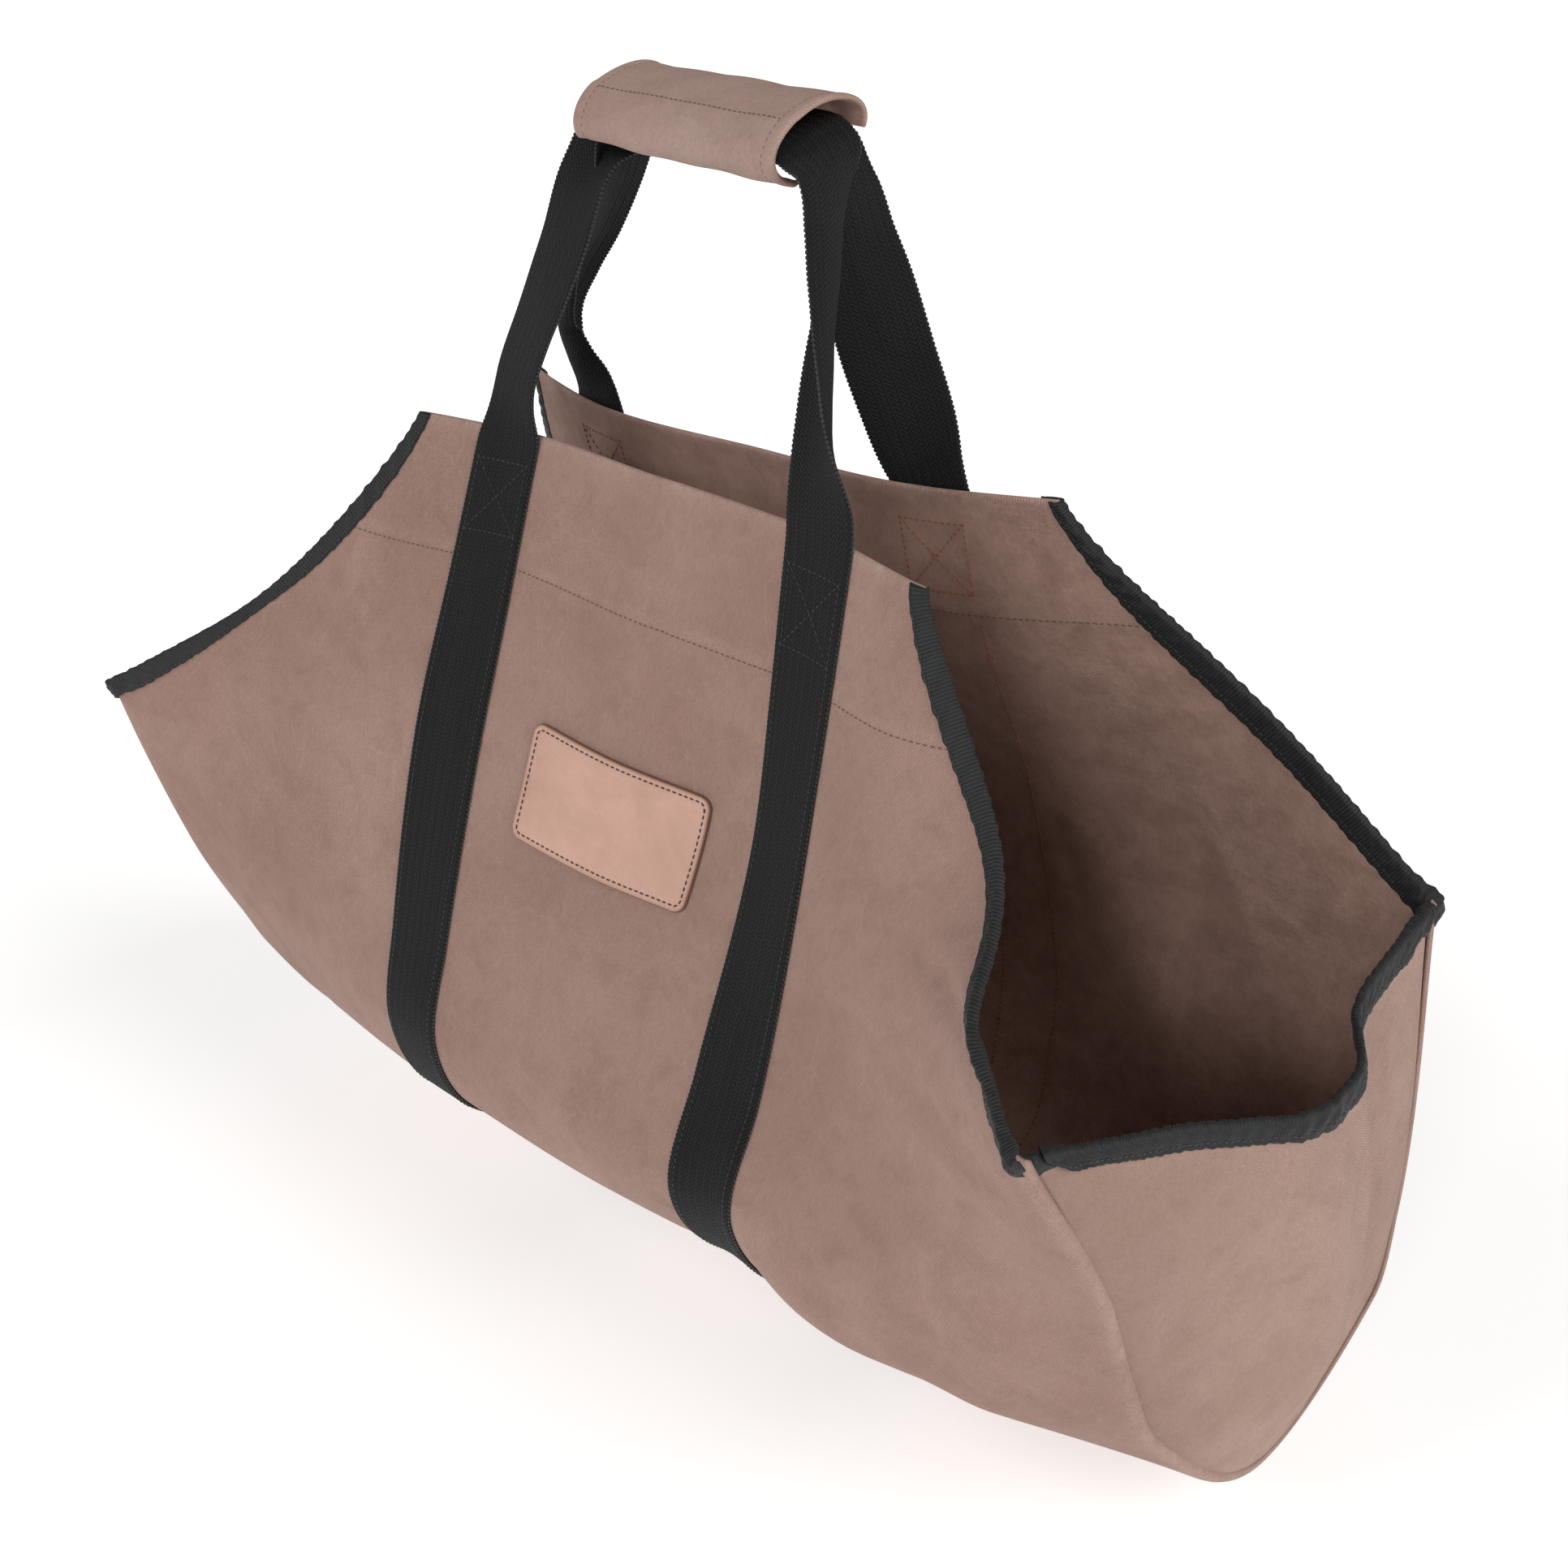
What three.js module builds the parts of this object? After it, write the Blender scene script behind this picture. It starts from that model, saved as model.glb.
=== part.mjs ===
// Canvas log carrier hanging by its handles
// One long sheet of waxed canvas forms the front, the belly and the back of an open sling.
// A rounded panel is sewn into each end, tape binds the raw edges, and two webbing bands run
// from under the belly up both sides, over the lips and together through one wrapped grip.
// Millimetres, +X along the length, -Y towards the front, +Z up, origin under the grip.

import * as THREE from 'three';

// Sling: lengths along the cloth, girths measured from the keel line up either side
const SLING_LENGTH = 610;
const LIP_LENGTH = 320;
const HALF_GIRTH = 464;
const CORNER_GIRTH = 315;
const LIP_HEIGHT = 390;
const CORNER_DEPTH = 142;
const CANVAS_THICKNESS = 2;
const HEM_DEPTH = 55;
const HEM_EXTRA = 1.4;
const HEM_RAMP = 5;
const SCOOP_ROUNDNESS = 1.2;
const SEAM_ROLL = 2.4;
const SEAM_DROP = 1.24;
const FOLD_DEPTH = 6;

// End panels
const PANEL_INSET = 5;
const PANEL_THICKNESS = 2;
const PANEL_SAG = 34;
const PANEL_BULGE = 30;

// Edge tape: the front scoops flare, and their tape keeps more room
const TAPE_THICKNESS = 1;
const TAPE_REACH = 11;
const TAPE_GAP = 0.7;
const FLARE_TAPE_GAP = 1.5;

// Webbing and grip
const WEB_WIDTH = 38;
const WEB_THICKNESS = 1.8;
const WEB_SPACING = 199;
const HANDLE_RISE = 147;
const GRIP_LENGTH = 134;
const GRIP_DEPTH = 56;
const GRIP_HEIGHT = 30;
const GRIP_THICKNESS = 3;
const GRIP_TILT = 18;

// Leather patch
const PATCH_LENGTH = 101;
const PATCH_HEIGHT = 56;
const PATCH_THICKNESS = 2.2;
const PATCH_CORNER = 6;
const PATCH_TILT = 3;
const PATCH_DROP = 5;
const PATCH_STANDOFF = 0.7;

// Clearance kept between sewn layers
const GAP = 0.35;

// The keel line at seven stations along the length, at is a share of half the length,
// back a share of CORNER_DEPTH and up a share of LIP_HEIGHT
const KEEL = [
  { at: -1.00, back: 0.28, up: -0.013 },
  { at: -0.75, back: 0.21, up: 0.003 },
  { at: -0.33, back: 0.10, up: 0.013 },
  { at: 0.00, back: 0.11, up: 0.008 },
  { at: 0.33, back: 0.13, up: -0.003 },
  { at: 0.75, back: 0.20, up: -0.030 },
  { at: 1.00, back: 0.33, up: -0.046 },
];

// Cross-sections of the front from the left end to the right end, each read from the keel
// upwards: a pair is the distance out as a share of CORNER_DEPTH and the height as a share of
// LIP_HEIGHT
const FRONT = [
  {
    at: -1.00, low: [0.37, 0.11], bilge: [0.57, 0.22], belly: [0.75, 0.35],
    corner: [1.00, 0.605], waist: [1.11, 0.79], lip: [1.14, 0.97],
  },
  {
    at: -0.75, low: [0.50, 0.13], bilge: [0.67, 0.24], belly: [0.76, 0.37],
    corner: [0.76, 0.61], waist: [0.62, 0.79], lip: [0.44, 0.985],
  },
  {
    at: -0.33, low: [0.60, 0.145], bilge: [0.76, 0.26], belly: [0.70, 0.39],
    corner: [0.54, 0.636], waist: [0.36, 0.83], lip: [0.21, 1.00],
  },
  {
    at: 0.00, low: [0.58, 0.14], bilge: [0.75, 0.25], belly: [0.65, 0.38],
    corner: [0.43, 0.618], waist: [0.32, 0.82], lip: [0.22, 1.00],
  },
  {
    at: 0.20, low: [0.55, 0.14], bilge: [0.73, 0.25], belly: [0.59, 0.38],
    corner: [0.34, 0.612], waist: [0.26, 0.81], lip: [0.20, 0.995],
  },
  {
    at: 0.33, low: [0.51, 0.14], bilge: [0.68, 0.25], belly: [0.57, 0.38],
    corner: [0.38, 0.615], waist: [0.28, 0.81], lip: [0.20, 0.99],
  },
  {
    at: 0.50, low: [0.51, 0.12], bilge: [0.68, 0.235], belly: [0.60, 0.37],
    corner: [0.49, 0.605], waist: [0.37, 0.80], lip: [0.25, 0.98],
  },
  {
    at: 0.75, low: [0.45, 0.115], bilge: [0.60, 0.23], belly: [0.65, 0.365],
    corner: [0.65, 0.597], waist: [0.42, 0.77], lip: [0.25, 0.96],
  },
  {
    at: 1.00, low: [0.22, 0.11], bilge: [0.40, 0.24], belly: [0.56, 0.37],
    corner: [1.00, 0.605], waist: [1.21, 0.77], lip: [1.27, 0.96],
  },
];

// Cross-sections of the back, read the same way
const BACK = [
  {
    at: -1.00, low: [0.88, 0.08], bilge: [1.01, 0.20], belly: [1.03, 0.33],
    corner: [1.00, 0.603], waist: [0.99, 0.80], lip: [0.96, 0.99],
  },
  {
    at: -0.75, low: [0.84, 0.09], bilge: [0.94, 0.21], belly: [0.96, 0.35],
    corner: [0.86, 0.618], waist: [0.65, 0.85], lip: [0.46, 1.02],
  },
  {
    at: -0.33, low: [0.74, 0.13], bilge: [0.84, 0.25], belly: [0.83, 0.38],
    corner: [0.61, 0.633], waist: [0.31, 0.83], lip: [0.14, 1.01],
  },
  {
    at: 0.00, low: [0.74, 0.12], bilge: [0.85, 0.245], belly: [0.84, 0.38],
    corner: [0.63, 0.623], waist: [0.37, 0.82], lip: [0.22, 1.00],
  },
  {
    at: 0.33, low: [0.78, 0.11], bilge: [0.88, 0.235], belly: [0.87, 0.37],
    corner: [0.66, 0.623], waist: [0.39, 0.83], lip: [0.24, 1.01],
  },
  {
    at: 0.75, low: [0.86, 0.08], bilge: [0.96, 0.20], belly: [0.97, 0.33],
    corner: [0.90, 0.618], waist: [0.66, 0.86], lip: [0.51, 1.03],
  },
  {
    at: 1.00, low: [0.96, 0.07], bilge: [1.05, 0.19], belly: [1.06, 0.33],
    corner: [1.00, 0.597], waist: [0.99, 0.80], lip: [0.96, 0.99],
  },
];

// Where the section levels lie along the cloth: low, bilge and belly as shares of CORNER_GIRTH,
// waist as a share of the cloth between corner and lip
const LOW_LEVEL = 0.35;
const BILGE_LEVEL = 0.52;
const BELLY_LEVEL = 0.69;
const WAIST_LEVEL = 0.53;

// Soft folds and dents: along is a share of half the length, girth a share of HALF_GIRTH (front
// negative), reach and rise their half sizes as shares of the same, tilt in degrees and push a
// share of FOLD_DEPTH, outwards positive
const FOLDS = [
  { along: 0.67, girth: -0.52, reach: 0.16, rise: 0.07, tilt: 20, push: -1.0 },
  { along: 0.50, girth: -0.30, reach: 0.06, rise: 0.16, tilt: -35, push: 0.8 },
  { along: -0.72, girth: -0.55, reach: 0.07, rise: 0.14, tilt: -25, push: -0.8 },
  { along: 0.83, girth: -0.40, reach: 0.06, rise: 0.18, tilt: 12, push: 0.7 },
  { along: 0.62, girth: 0.42, reach: 0.08, rise: 0.20, tilt: 25, push: -1.0 },
  { along: -0.62, girth: 0.42, reach: 0.08, rise: 0.20, tilt: -25, push: -1.0 },
  { along: 0.02, girth: 0.45, reach: 0.14, rise: 0.10, tilt: 0, push: 0.8 },
  { along: 0.88, girth: -0.745, reach: 0.20, rise: 0.048, tilt: 0, push: 0.65 },
  { along: 0.74, girth: -0.835, reach: 0.18, rise: 0.07, tilt: 0, push: -0.3 },
];

// Top edge of an end panel from its front corner to its back corner: across is the share of the
// way, sag a share of PANEL_SAG and bulge a share of PANEL_BULGE
const PANEL_EDGE = [
  { across: 0.00, sag: 0.00, bulge: 0.00 },
  { across: 0.15, sag: 0.32, bulge: 0.12 },
  { across: 0.30, sag: 0.58, bulge: 0.34 },
  { across: 0.45, sag: 0.86, bulge: 0.72 },
  { across: 0.58, sag: 1.00, bulge: 1.00 },
  { across: 0.66, sag: 0.90, bulge: 0.86 },
  { across: 0.73, sag: 0.50, bulge: 0.38 },
  { across: 0.84, sag: 0.26, bulge: 0.16 },
  { across: 1.00, sag: 0.00, bulge: 0.00 },
];
const PANEL_SWELL = 0.5;

// Free legs of the two webbing bands, from the lip up to the grip: rise is a share of
// HANDLE_RISE, along a share of half WEB_SPACING, depth a share of the depth of the lip below,
// and turn the direction of the width in degrees about +Z
const FRONT_LEFT_LEG = [
  { rise: 0.07, along: -1.01, depth: 0.95, turn: -10 },
  { rise: 0.18, along: -1.01, depth: 0.86, turn: -14 },
  { rise: 0.34, along: -0.92, depth: 0.74, turn: -15 },
  { rise: 0.48, along: -0.85, depth: 0.62, turn: -12 },
  { rise: 0.62, along: -0.80, depth: 0.46, turn: -8 },
  { rise: 0.76, along: -0.785, depth: 0.27, turn: -2 },
  { rise: 0.86, along: -0.765, depth: 0.04, turn: 36 },
  { rise: 0.952, along: -0.71, depth: -0.22, turn: 80 },
  { rise: 0.986, along: -0.65, depth: -0.27, turn: 88 },
];
const FRONT_RIGHT_LEG = [
  { rise: 0.13, along: 0.97, depth: 0.93, turn: 172 },
  { rise: 0.22, along: 0.97, depth: 0.88, turn: 164 },
  { rise: 0.31, along: 0.96, depth: 0.82, turn: 154 },
  { rise: 0.43, along: 0.93, depth: 0.73, turn: 144 },
  { rise: 0.55, along: 0.93, depth: 0.62, turn: 128 },
  { rise: 0.65, along: 0.91, depth: 0.50, turn: 115 },
  { rise: 0.78, along: 0.89, depth: 0.32, turn: 108 },
  { rise: 0.905, along: 0.85, depth: 0.14, turn: 98 },
  { rise: 0.966, along: 0.80, depth: 0.05, turn: 93 },
  { rise: 0.994, along: 0.72, depth: -0.02, turn: 91 },
];
const BACK_LEFT_LEG = [
  { rise: 0.12, along: -1.13, depth: 0.92, turn: -22 },
  { rise: 0.25, along: -1.14, depth: 0.88, turn: -44 },
  { rise: 0.42, along: -0.98, depth: 0.82, turn: -58 },
  { rise: 0.58, along: -0.83, depth: 0.78, turn: -64 },
  { rise: 0.74, along: -0.645, depth: 0.74, turn: -73 },
  { rise: 0.87, along: -0.57, depth: 0.68, turn: -82 },
  { rise: 0.939, along: -0.53, depth: 0.58, turn: -87 },
  { rise: 0.976, along: -0.46, depth: 0.50, turn: -90 },
];
const BACK_RIGHT_LEG = [
  { rise: 0.10, along: 0.95, depth: 0.97, turn: -158 },
  { rise: 0.22, along: 0.91, depth: 0.90, turn: -140 },
  { rise: 0.38, along: 0.85, depth: 0.74, turn: -130 },
  { rise: 0.56, along: 0.81, depth: 0.53, turn: -117 },
  { rise: 0.72, along: 0.78, depth: 0.30, turn: -102 },
  { rise: 0.85, along: 0.76, depth: 0.15, turn: -93 },
  { rise: 0.925, along: 0.72, depth: 0.08, turn: -91 },
  { rise: 0.968, along: 0.66, depth: 0.05, turn: -90 },
];

// The bands lean into the tilt of the grip between these shares of the rise
const BANK_START = 0.88;
const BANK_END = 0.97;

// Where the bands are held along the grip, as shares of half its length from the middle
const GRIP_KNOTS = [-0.5, -0.25, 0, 0.4, 0.8];

// The grip at its two ends: back is a share of GRIP_DEPTH, turnUnder the angle in degrees that the
// wrap reaches past level at its front edge, and turnBack the same at its back edge
const GRIP_ENDS = {
  left: { back: 0.20, turnUnder: 14, turnBack: 12 },
  right: { back: 0.00, turnUnder: 50, turnBack: 22 },
};

// Mesh density
const CELLS_BELOW_CORNER = 12;
const KNEE_ROW = 5;
const CELLS_TO_HEM = 7;
const CELLS_IN_HEM = 2;
const CELLS_BETWEEN_BANDS = 6;
const CELLS_BESIDE_BANDS = 9;
const LEG_STEP = 13;
const CELLS_GRIP_LENGTH = 6;
const CELLS_GRIP_ROUND = 14;

const halfLength = SLING_LENGTH / 2;
const halfLip = LIP_LENGTH / 2;
const webOffset = WEB_SPACING / 2;
const gripHeight = LIP_HEIGHT + HANDLE_RISE;
const gripTilt = THREE.MathUtils.degToRad(GRIP_TILT);
const epsilon = 0.5;
const halfTurn = 180;

// Smooth value at t through the knots, with slopes taken from the neighbours
function smoothAt(knots, values, t) {
  const last = knots.length - 1;
  let k = 0;
  while (k < last - 1 && t > knots[k + 1]) {
    k += 1;
  }
  const slope = (i) => {
    const before = Math.max(i - 1, 0);
    const after = Math.min(i + 1, last);
    return (values[after] - values[before]) / (knots[after] - knots[before]);
  };
  const span = knots[k + 1] - knots[k];
  const s = (t - knots[k]) / span;
  const s2 = s * s;
  const s3 = s2 * s;
  const start = values[k] * (2 * s3 - 3 * s2 + 1) + slope(k) * span * (s3 - 2 * s2 + s);
  const end = values[k + 1] * (3 * s2 - 2 * s3) + slope(k + 1) * span * (s3 - s2);
  return start + end;
}

// Girths of the section levels, front negative, keel zero, back positive
const levelNames = ['lip', 'waist', 'corner', 'belly', 'bilge', 'low'];
const levelGirths = [
  HALF_GIRTH,
  CORNER_GIRTH + WAIST_LEVEL * (HALF_GIRTH - CORNER_GIRTH),
  CORNER_GIRTH,
  BELLY_LEVEL * CORNER_GIRTH,
  BILGE_LEVEL * CORNER_GIRTH,
  LOW_LEVEL * CORNER_GIRTH,
];
const girthKnots = [
  ...levelGirths.map((g) => -g),
  0,
  ...levelGirths.slice().reverse(),
];

// Depth and height of every level at one station along the length
function sectionAt(x) {
  const at = x / halfLength;
  const read = (rows, pick) => smoothAt(rows.map((row) => row.at), rows.map(pick), at);
  const depths = [];
  const heights = [];
  for (const name of levelNames) {
    depths.push(-CORNER_DEPTH * read(FRONT, (row) => row[name][0]));
    heights.push(LIP_HEIGHT * read(FRONT, (row) => row[name][1]));
  }
  depths.push(CORNER_DEPTH * read(KEEL, (row) => row.back));
  heights.push(LIP_HEIGHT * read(KEEL, (row) => row.up));
  for (const name of levelNames.slice().reverse()) {
    depths.push(CORNER_DEPTH * read(BACK, (row) => row[name][0]));
    heights.push(LIP_HEIGHT * read(BACK, (row) => row[name][1]));
  }
  return { depths, heights };
}

const sectionCache = new Map();
function cachedSection(x) {
  const key = x.toFixed(4);
  if (!sectionCache.has(key)) {
    sectionCache.set(key, sectionAt(x));
  }
  return sectionCache.get(key);
}

// The smooth sheet without folds
function sheetPoint(x, girth) {
  const { depths, heights } = cachedSection(x);
  return new THREE.Vector3(x, smoothAt(girthKnots, depths, girth), smoothAt(girthKnots, heights, girth));
}

function outwardNormal(pointAt, x, girth) {
  const along = pointAt(x + epsilon, girth).sub(pointAt(x - epsilon, girth));
  const round = pointAt(x, girth + epsilon).sub(pointAt(x, girth - epsilon));
  return round.cross(along).normalize();
}

// Outward push of all folds together at a place on the cloth
function foldPush(x, girth) {
  let push = 0;
  for (const fold of FOLDS) {
    const dx = x - fold.along * halfLength;
    const dg = girth - fold.girth * HALF_GIRTH;
    const turn = THREE.MathUtils.degToRad(fold.tilt);
    const a = (dx * Math.cos(turn) + dg * Math.sin(turn)) / (fold.reach * halfLength);
    const b = (dg * Math.cos(turn) - dx * Math.sin(turn)) / (fold.rise * HALF_GIRTH);
    push += fold.push * FOLD_DEPTH * Math.exp(-a * a - b * b);
  }
  return push;
}

function clothPoint(x, girth) {
  const push = foldPush(x, girth);
  return sheetPoint(x, girth).addScaledVector(outwardNormal(sheetPoint, x, girth), push);
}

// A point off the middle of the cloth, outwards positive
function offCloth(x, girth, distance) {
  return clothPoint(x, girth).addScaledVector(outwardNormal(clothPoint, x, girth), distance);
}

// Half the length of the cut sheet at a girth: straight ends, then the scoop up to the lip
function cutHalfLength(girth) {
  const above = Math.abs(girth) - CORNER_GIRTH;
  if (above <= 0) {
    return halfLength;
  }
  const rise = 1 - above / (HALF_GIRTH - CORNER_GIRTH);
  const left = Math.pow(Math.max(1 - Math.pow(rise, SCOOP_ROUNDNESS), 0), 1 / SCOOP_ROUNDNESS);
  return halfLength - (halfLength - halfLip) * left;
}

// Girth at which the scoop reaches a given half length
function scoopGirth(x) {
  const out = (halfLength - x) / (halfLength - halfLip);
  const rise = Math.pow(Math.max(1 - Math.pow(out, SCOOP_ROUNDNESS), 0), 1 / SCOOP_ROUNDNESS);
  return HALF_GIRTH - (HALF_GIRTH - CORNER_GIRTH) * rise;
}

function spread(from, to, cells) {
  return Array.from({ length: cells + 1 }, (_, i) => from + ((to - from) * i) / cells);
}

function unique(values) {
  return values.filter((value, i) => i === 0 || Math.abs(value - values[i - 1]) > 0.01);
}

// Tape on the scoops stops short of the end panels' own tape
const tapeStack = TAPE_THICKNESS + FLARE_TAPE_GAP;
const tapeEndX = halfLength - PANEL_INSET - PANEL_THICKNESS / 2 - tapeStack - GAP;
const tapeEndGirth = scoopGirth(tapeEndX);
const hemGirth = HALF_GIRTH - HEM_DEPTH;

// Girth rows shared by the sheet, the tape and the webbing, keel to lip
const halfRows = unique([
  ...spread(0, CORNER_GIRTH, CELLS_BELOW_CORNER),
  ...spread(tapeEndGirth, hemGirth - HEM_RAMP, CELLS_TO_HEM),
  ...spread(hemGirth, HALF_GIRTH, CELLS_IN_HEM),
]);

// A closed shell between two grids of points that share their rows and columns
function shell(faceA, faceB) {
  const rows = faceA.length;
  const cols = faceA[0].length;
  const positions = [];
  for (const grid of [faceA, faceB]) {
    for (const row of grid) {
      for (const point of row) {
        positions.push(point.x, point.y, point.z);
      }
    }
  }
  const size = rows * cols;
  const index = [];
  const quad = (a, b, c, d) => index.push(a, b, c, a, c, d);
  for (let i = 0; i < rows - 1; i += 1) {
    for (let j = 0; j < cols - 1; j += 1) {
      const a = i * cols + j;
      quad(a, a + 1, a + cols + 1, a + cols);
      quad(size + a, size + a + cols, size + a + cols + 1, size + a + 1);
    }
  }
  for (let i = 0; i < rows - 1; i += 1) {
    const left = i * cols;
    const right = left + cols - 1;
    quad(left, left + cols, size + left + cols, size + left);
    quad(right, size + right, size + right + cols, right + cols);
  }
  for (let j = 0; j < cols - 1; j += 1) {
    const far = (rows - 1) * cols + j;
    quad(j, size + j, size + j + 1, j + 1);
    quad(far, far + 1, size + far + 1, size + far);
  }
  const geometry = new THREE.BufferGeometry();
  geometry.setAttribute('position', new THREE.Float32BufferAttribute(positions, 3));
  geometry.setIndex(index);
  if (enclosedVolume(positions, index) < 0) {
    for (let k = 0; k < index.length; k += 3) {
      const held = index[k + 1];
      index[k + 1] = index[k + 2];
      index[k + 2] = held;
    }
    geometry.setIndex(index);
  }
  geometry.computeVertexNormals();
  return geometry;
}

function enclosedVolume(positions, index) {
  const corner = (k) => new THREE.Vector3().fromArray(positions, 3 * index[k]);
  let volume = 0;
  for (let k = 0; k < index.length; k += 3) {
    volume += corner(k).dot(corner(k + 1).cross(corner(k + 2))) / 6;
  }
  return volume;
}

// How far the inner face of the sheet lies from its middle: doubled inside the hem
function innerOffset(girth) {
  const into = (Math.abs(girth) - (hemGirth - HEM_RAMP)) / HEM_RAMP;
  return -CANVAS_THICKNESS / 2 - HEM_EXTRA * THREE.MathUtils.clamp(into, 0, 1);
}

// The sheet's ends roll inwards into the seam
function seamRoll(x) {
  const into = THREE.MathUtils.clamp((Math.abs(x) - (halfLength - SEAM_ROLL)) / SEAM_ROLL, 0, 1);
  return -SEAM_DROP * (1 - Math.sqrt(1 - into * into));
}

function slingGeometry() {
  const bandIn = webOffset - WEB_WIDTH / 2;
  const bandOut = webOffset + WEB_WIDTH / 2;
  const beside = halfLength - bandOut;
  const outer = [
    ...spread(0, 1 - (PANEL_INSET + PANEL_THICKNESS) / beside, CELLS_BESIDE_BANDS).slice(1),
    1 - SEAM_ROLL / beside,
    1,
  ];
  const inner = [
    ...spread(0, bandIn, CELLS_BETWEEN_BANDS / 2).slice(1),
    webOffset,
    bandOut,
  ];
  const halfColumns = (girth) => [
    ...inner,
    ...outer.map((share) => bandOut + (cutHalfLength(girth) - bandOut) * share),
  ];
  const girths = [...halfRows.map((g) => -g).reverse(), ...halfRows.slice(1)];
  const face = (offsetAt) => girths.map((girth) => {
    const half = halfColumns(girth);
    const columns = [...half.map((x) => -x).reverse(), 0, ...half];
    return columns.map((x) => offCloth(x, girth, offsetAt(girth) + seamRoll(x)));
  });
  return shell(face(() => CANVAS_THICKNESS / 2), face(innerOffset));
}

// A point on the straight facet between two girth rows
function facetPoint(x, girth, distance) {
  const size = Math.min(Math.abs(girth), HALF_GIRTH);
  const k = Math.max(halfRows.findIndex((row) => row >= size), 1);
  const sign = Math.sign(girth) || 1;
  const low = offCloth(x, sign * halfRows[k - 1], distance);
  const high = offCloth(x, sign * halfRows[k], distance);
  return low.lerp(high, (size - halfRows[k - 1]) / (halfRows[k] - halfRows[k - 1]));
}

// End panel: a surface stretched between its sagging top edge and the seam round it
const kneeGirth = halfRows[KNEE_ROW];
const panelTopGirth = CORNER_GIRTH - TAPE_GAP - TAPE_THICKNESS;
const panelAcross = [
  ...halfRows.slice(1, KNEE_ROW + 1).map((g) => -g).reverse(),
  ...halfRows.slice(0, KNEE_ROW + 1),
].map((g) => (g / kneeGirth + 1) / 2);
const panelDown = [
  0,
  ...halfRows.slice(KNEE_ROW, CELLS_BELOW_CORNER).reverse().map(
    (g) => (panelTopGirth - g) / (panelTopGirth - kneeGirth),
  ),
];

function panelSurface(side, lift) {
  const seamX = side * (halfLength - PANEL_INSET + lift);
  const seam = (girth) => facetPoint(seamX, girth, -CANVAS_THICKNESS / 2 - GAP);
  const frontCorner = seam(-panelTopGirth);
  const backCorner = seam(panelTopGirth);
  const acrossKnots = PANEL_EDGE.map((row) => row.across);
  const top = (u) => {
    const point = frontCorner.clone().lerp(backCorner, u);
    point.z -= PANEL_SAG * smoothAt(acrossKnots, PANEL_EDGE.map((row) => row.sag), u);
    point.x += side * PANEL_BULGE * smoothAt(acrossKnots, PANEL_EDGE.map((row) => row.bulge), u);
    return point;
  };
  const sideGirth = (v) => panelTopGirth + (kneeGirth - panelTopGirth) * v;
  const bottomGirth = (u) => kneeGirth * (2 * u - 1);
  const frontKnee = seam(-kneeGirth);
  const backKnee = seam(kneeGirth);
  return (u, v) => {
    const point = top(u).multiplyScalar(1 - v);
    point.addScaledVector(seam(bottomGirth(u)), v);
    point.addScaledVector(seam(-sideGirth(v)), 1 - u);
    point.addScaledVector(seam(sideGirth(v)), u);
    point.addScaledVector(frontCorner, -(1 - u) * (1 - v));
    point.addScaledVector(backCorner, -u * (1 - v));
    point.addScaledVector(frontKnee, -(1 - u) * v);
    point.addScaledVector(backKnee, -u * v);
    const swell = Math.sin(Math.PI * u) * Math.sin(Math.PI * v);
    point.x += side * PANEL_BULGE * PANEL_SWELL * swell;
    return point;
  };
}

function panelGeometry(side) {
  const face = (lift) => {
    const surface = panelSurface(side, lift);
    return panelDown.map((v) => panelAcross.map((u) => surface(u, v)));
  };
  return shell(face(PANEL_THICKNESS / 2), face(-PANEL_THICKNESS / 2));
}

// The path of a tape across an edge: reach is the distance in from the edge and lift the
// distance off the middle of the cloth, up one leg, round the edge and down the other
function tapePath(outer, inner, near) {
  const middle = (outer - inner) / 2;
  const far = near + TAPE_THICKNESS;
  const fold = -far;
  const inside = [
    { reach: TAPE_REACH, lift: outer + near },
    { reach: TAPE_REACH / 2, lift: outer + near },
    { reach: -near, lift: outer + near },
    { reach: -near, lift: middle + near },
    { reach: -near, lift: middle - near },
    { reach: -near, lift: -inner - near },
    { reach: TAPE_REACH / 2, lift: -inner - near },
    { reach: TAPE_REACH, lift: -inner - near },
  ];
  const outside = [
    { reach: TAPE_REACH, lift: outer + far },
    { reach: TAPE_REACH / 2, lift: outer + far },
    { reach: -near, lift: outer + far },
    { reach: fold, lift: middle + far / 2 },
    { reach: fold, lift: middle - far / 2 },
    { reach: -near, lift: -inner - far },
    { reach: TAPE_REACH / 2, lift: -inner - far },
    { reach: TAPE_REACH, lift: -inner - far },
  ];
  return { inside, outside };
}

// Tape round one scoop, front or back, left or right
function scoopTapeGeometry(front, side) {
  const sign = front ? -1 : 1;
  const girths = halfRows.filter((g) => g >= tapeEndGirth - 0.01);
  const faces = { inside: [], outside: [] };
  for (const girth of girths) {
    const edge = new THREE.Vector2(cutHalfLength(girth), girth);
    const below = Math.max(girth - epsilon, CORNER_GIRTH);
    const above = Math.min(girth + epsilon, HALF_GIRTH);
    const run = new THREE.Vector2(cutHalfLength(above) - cutHalfLength(below), above - below).normalize();
    const inward = new THREE.Vector2(-run.y, run.x);
    const hemNear = -innerOffset(girth + (girth < hemGirth ? TAPE_REACH : 0));
    const path = tapePath(CANVAS_THICKNESS / 2, hemNear, front ? FLARE_TAPE_GAP : TAPE_GAP);
    for (const name of ['inside', 'outside']) {
      faces[name].push(path[name].map(({ reach, lift }) => {
        const flat = edge.clone().addScaledVector(inward, reach);
        return facetPoint(side * flat.x, sign * flat.y, lift);
      }));
    }
  }
  return shell(faces.inside, faces.outside);
}

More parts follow.
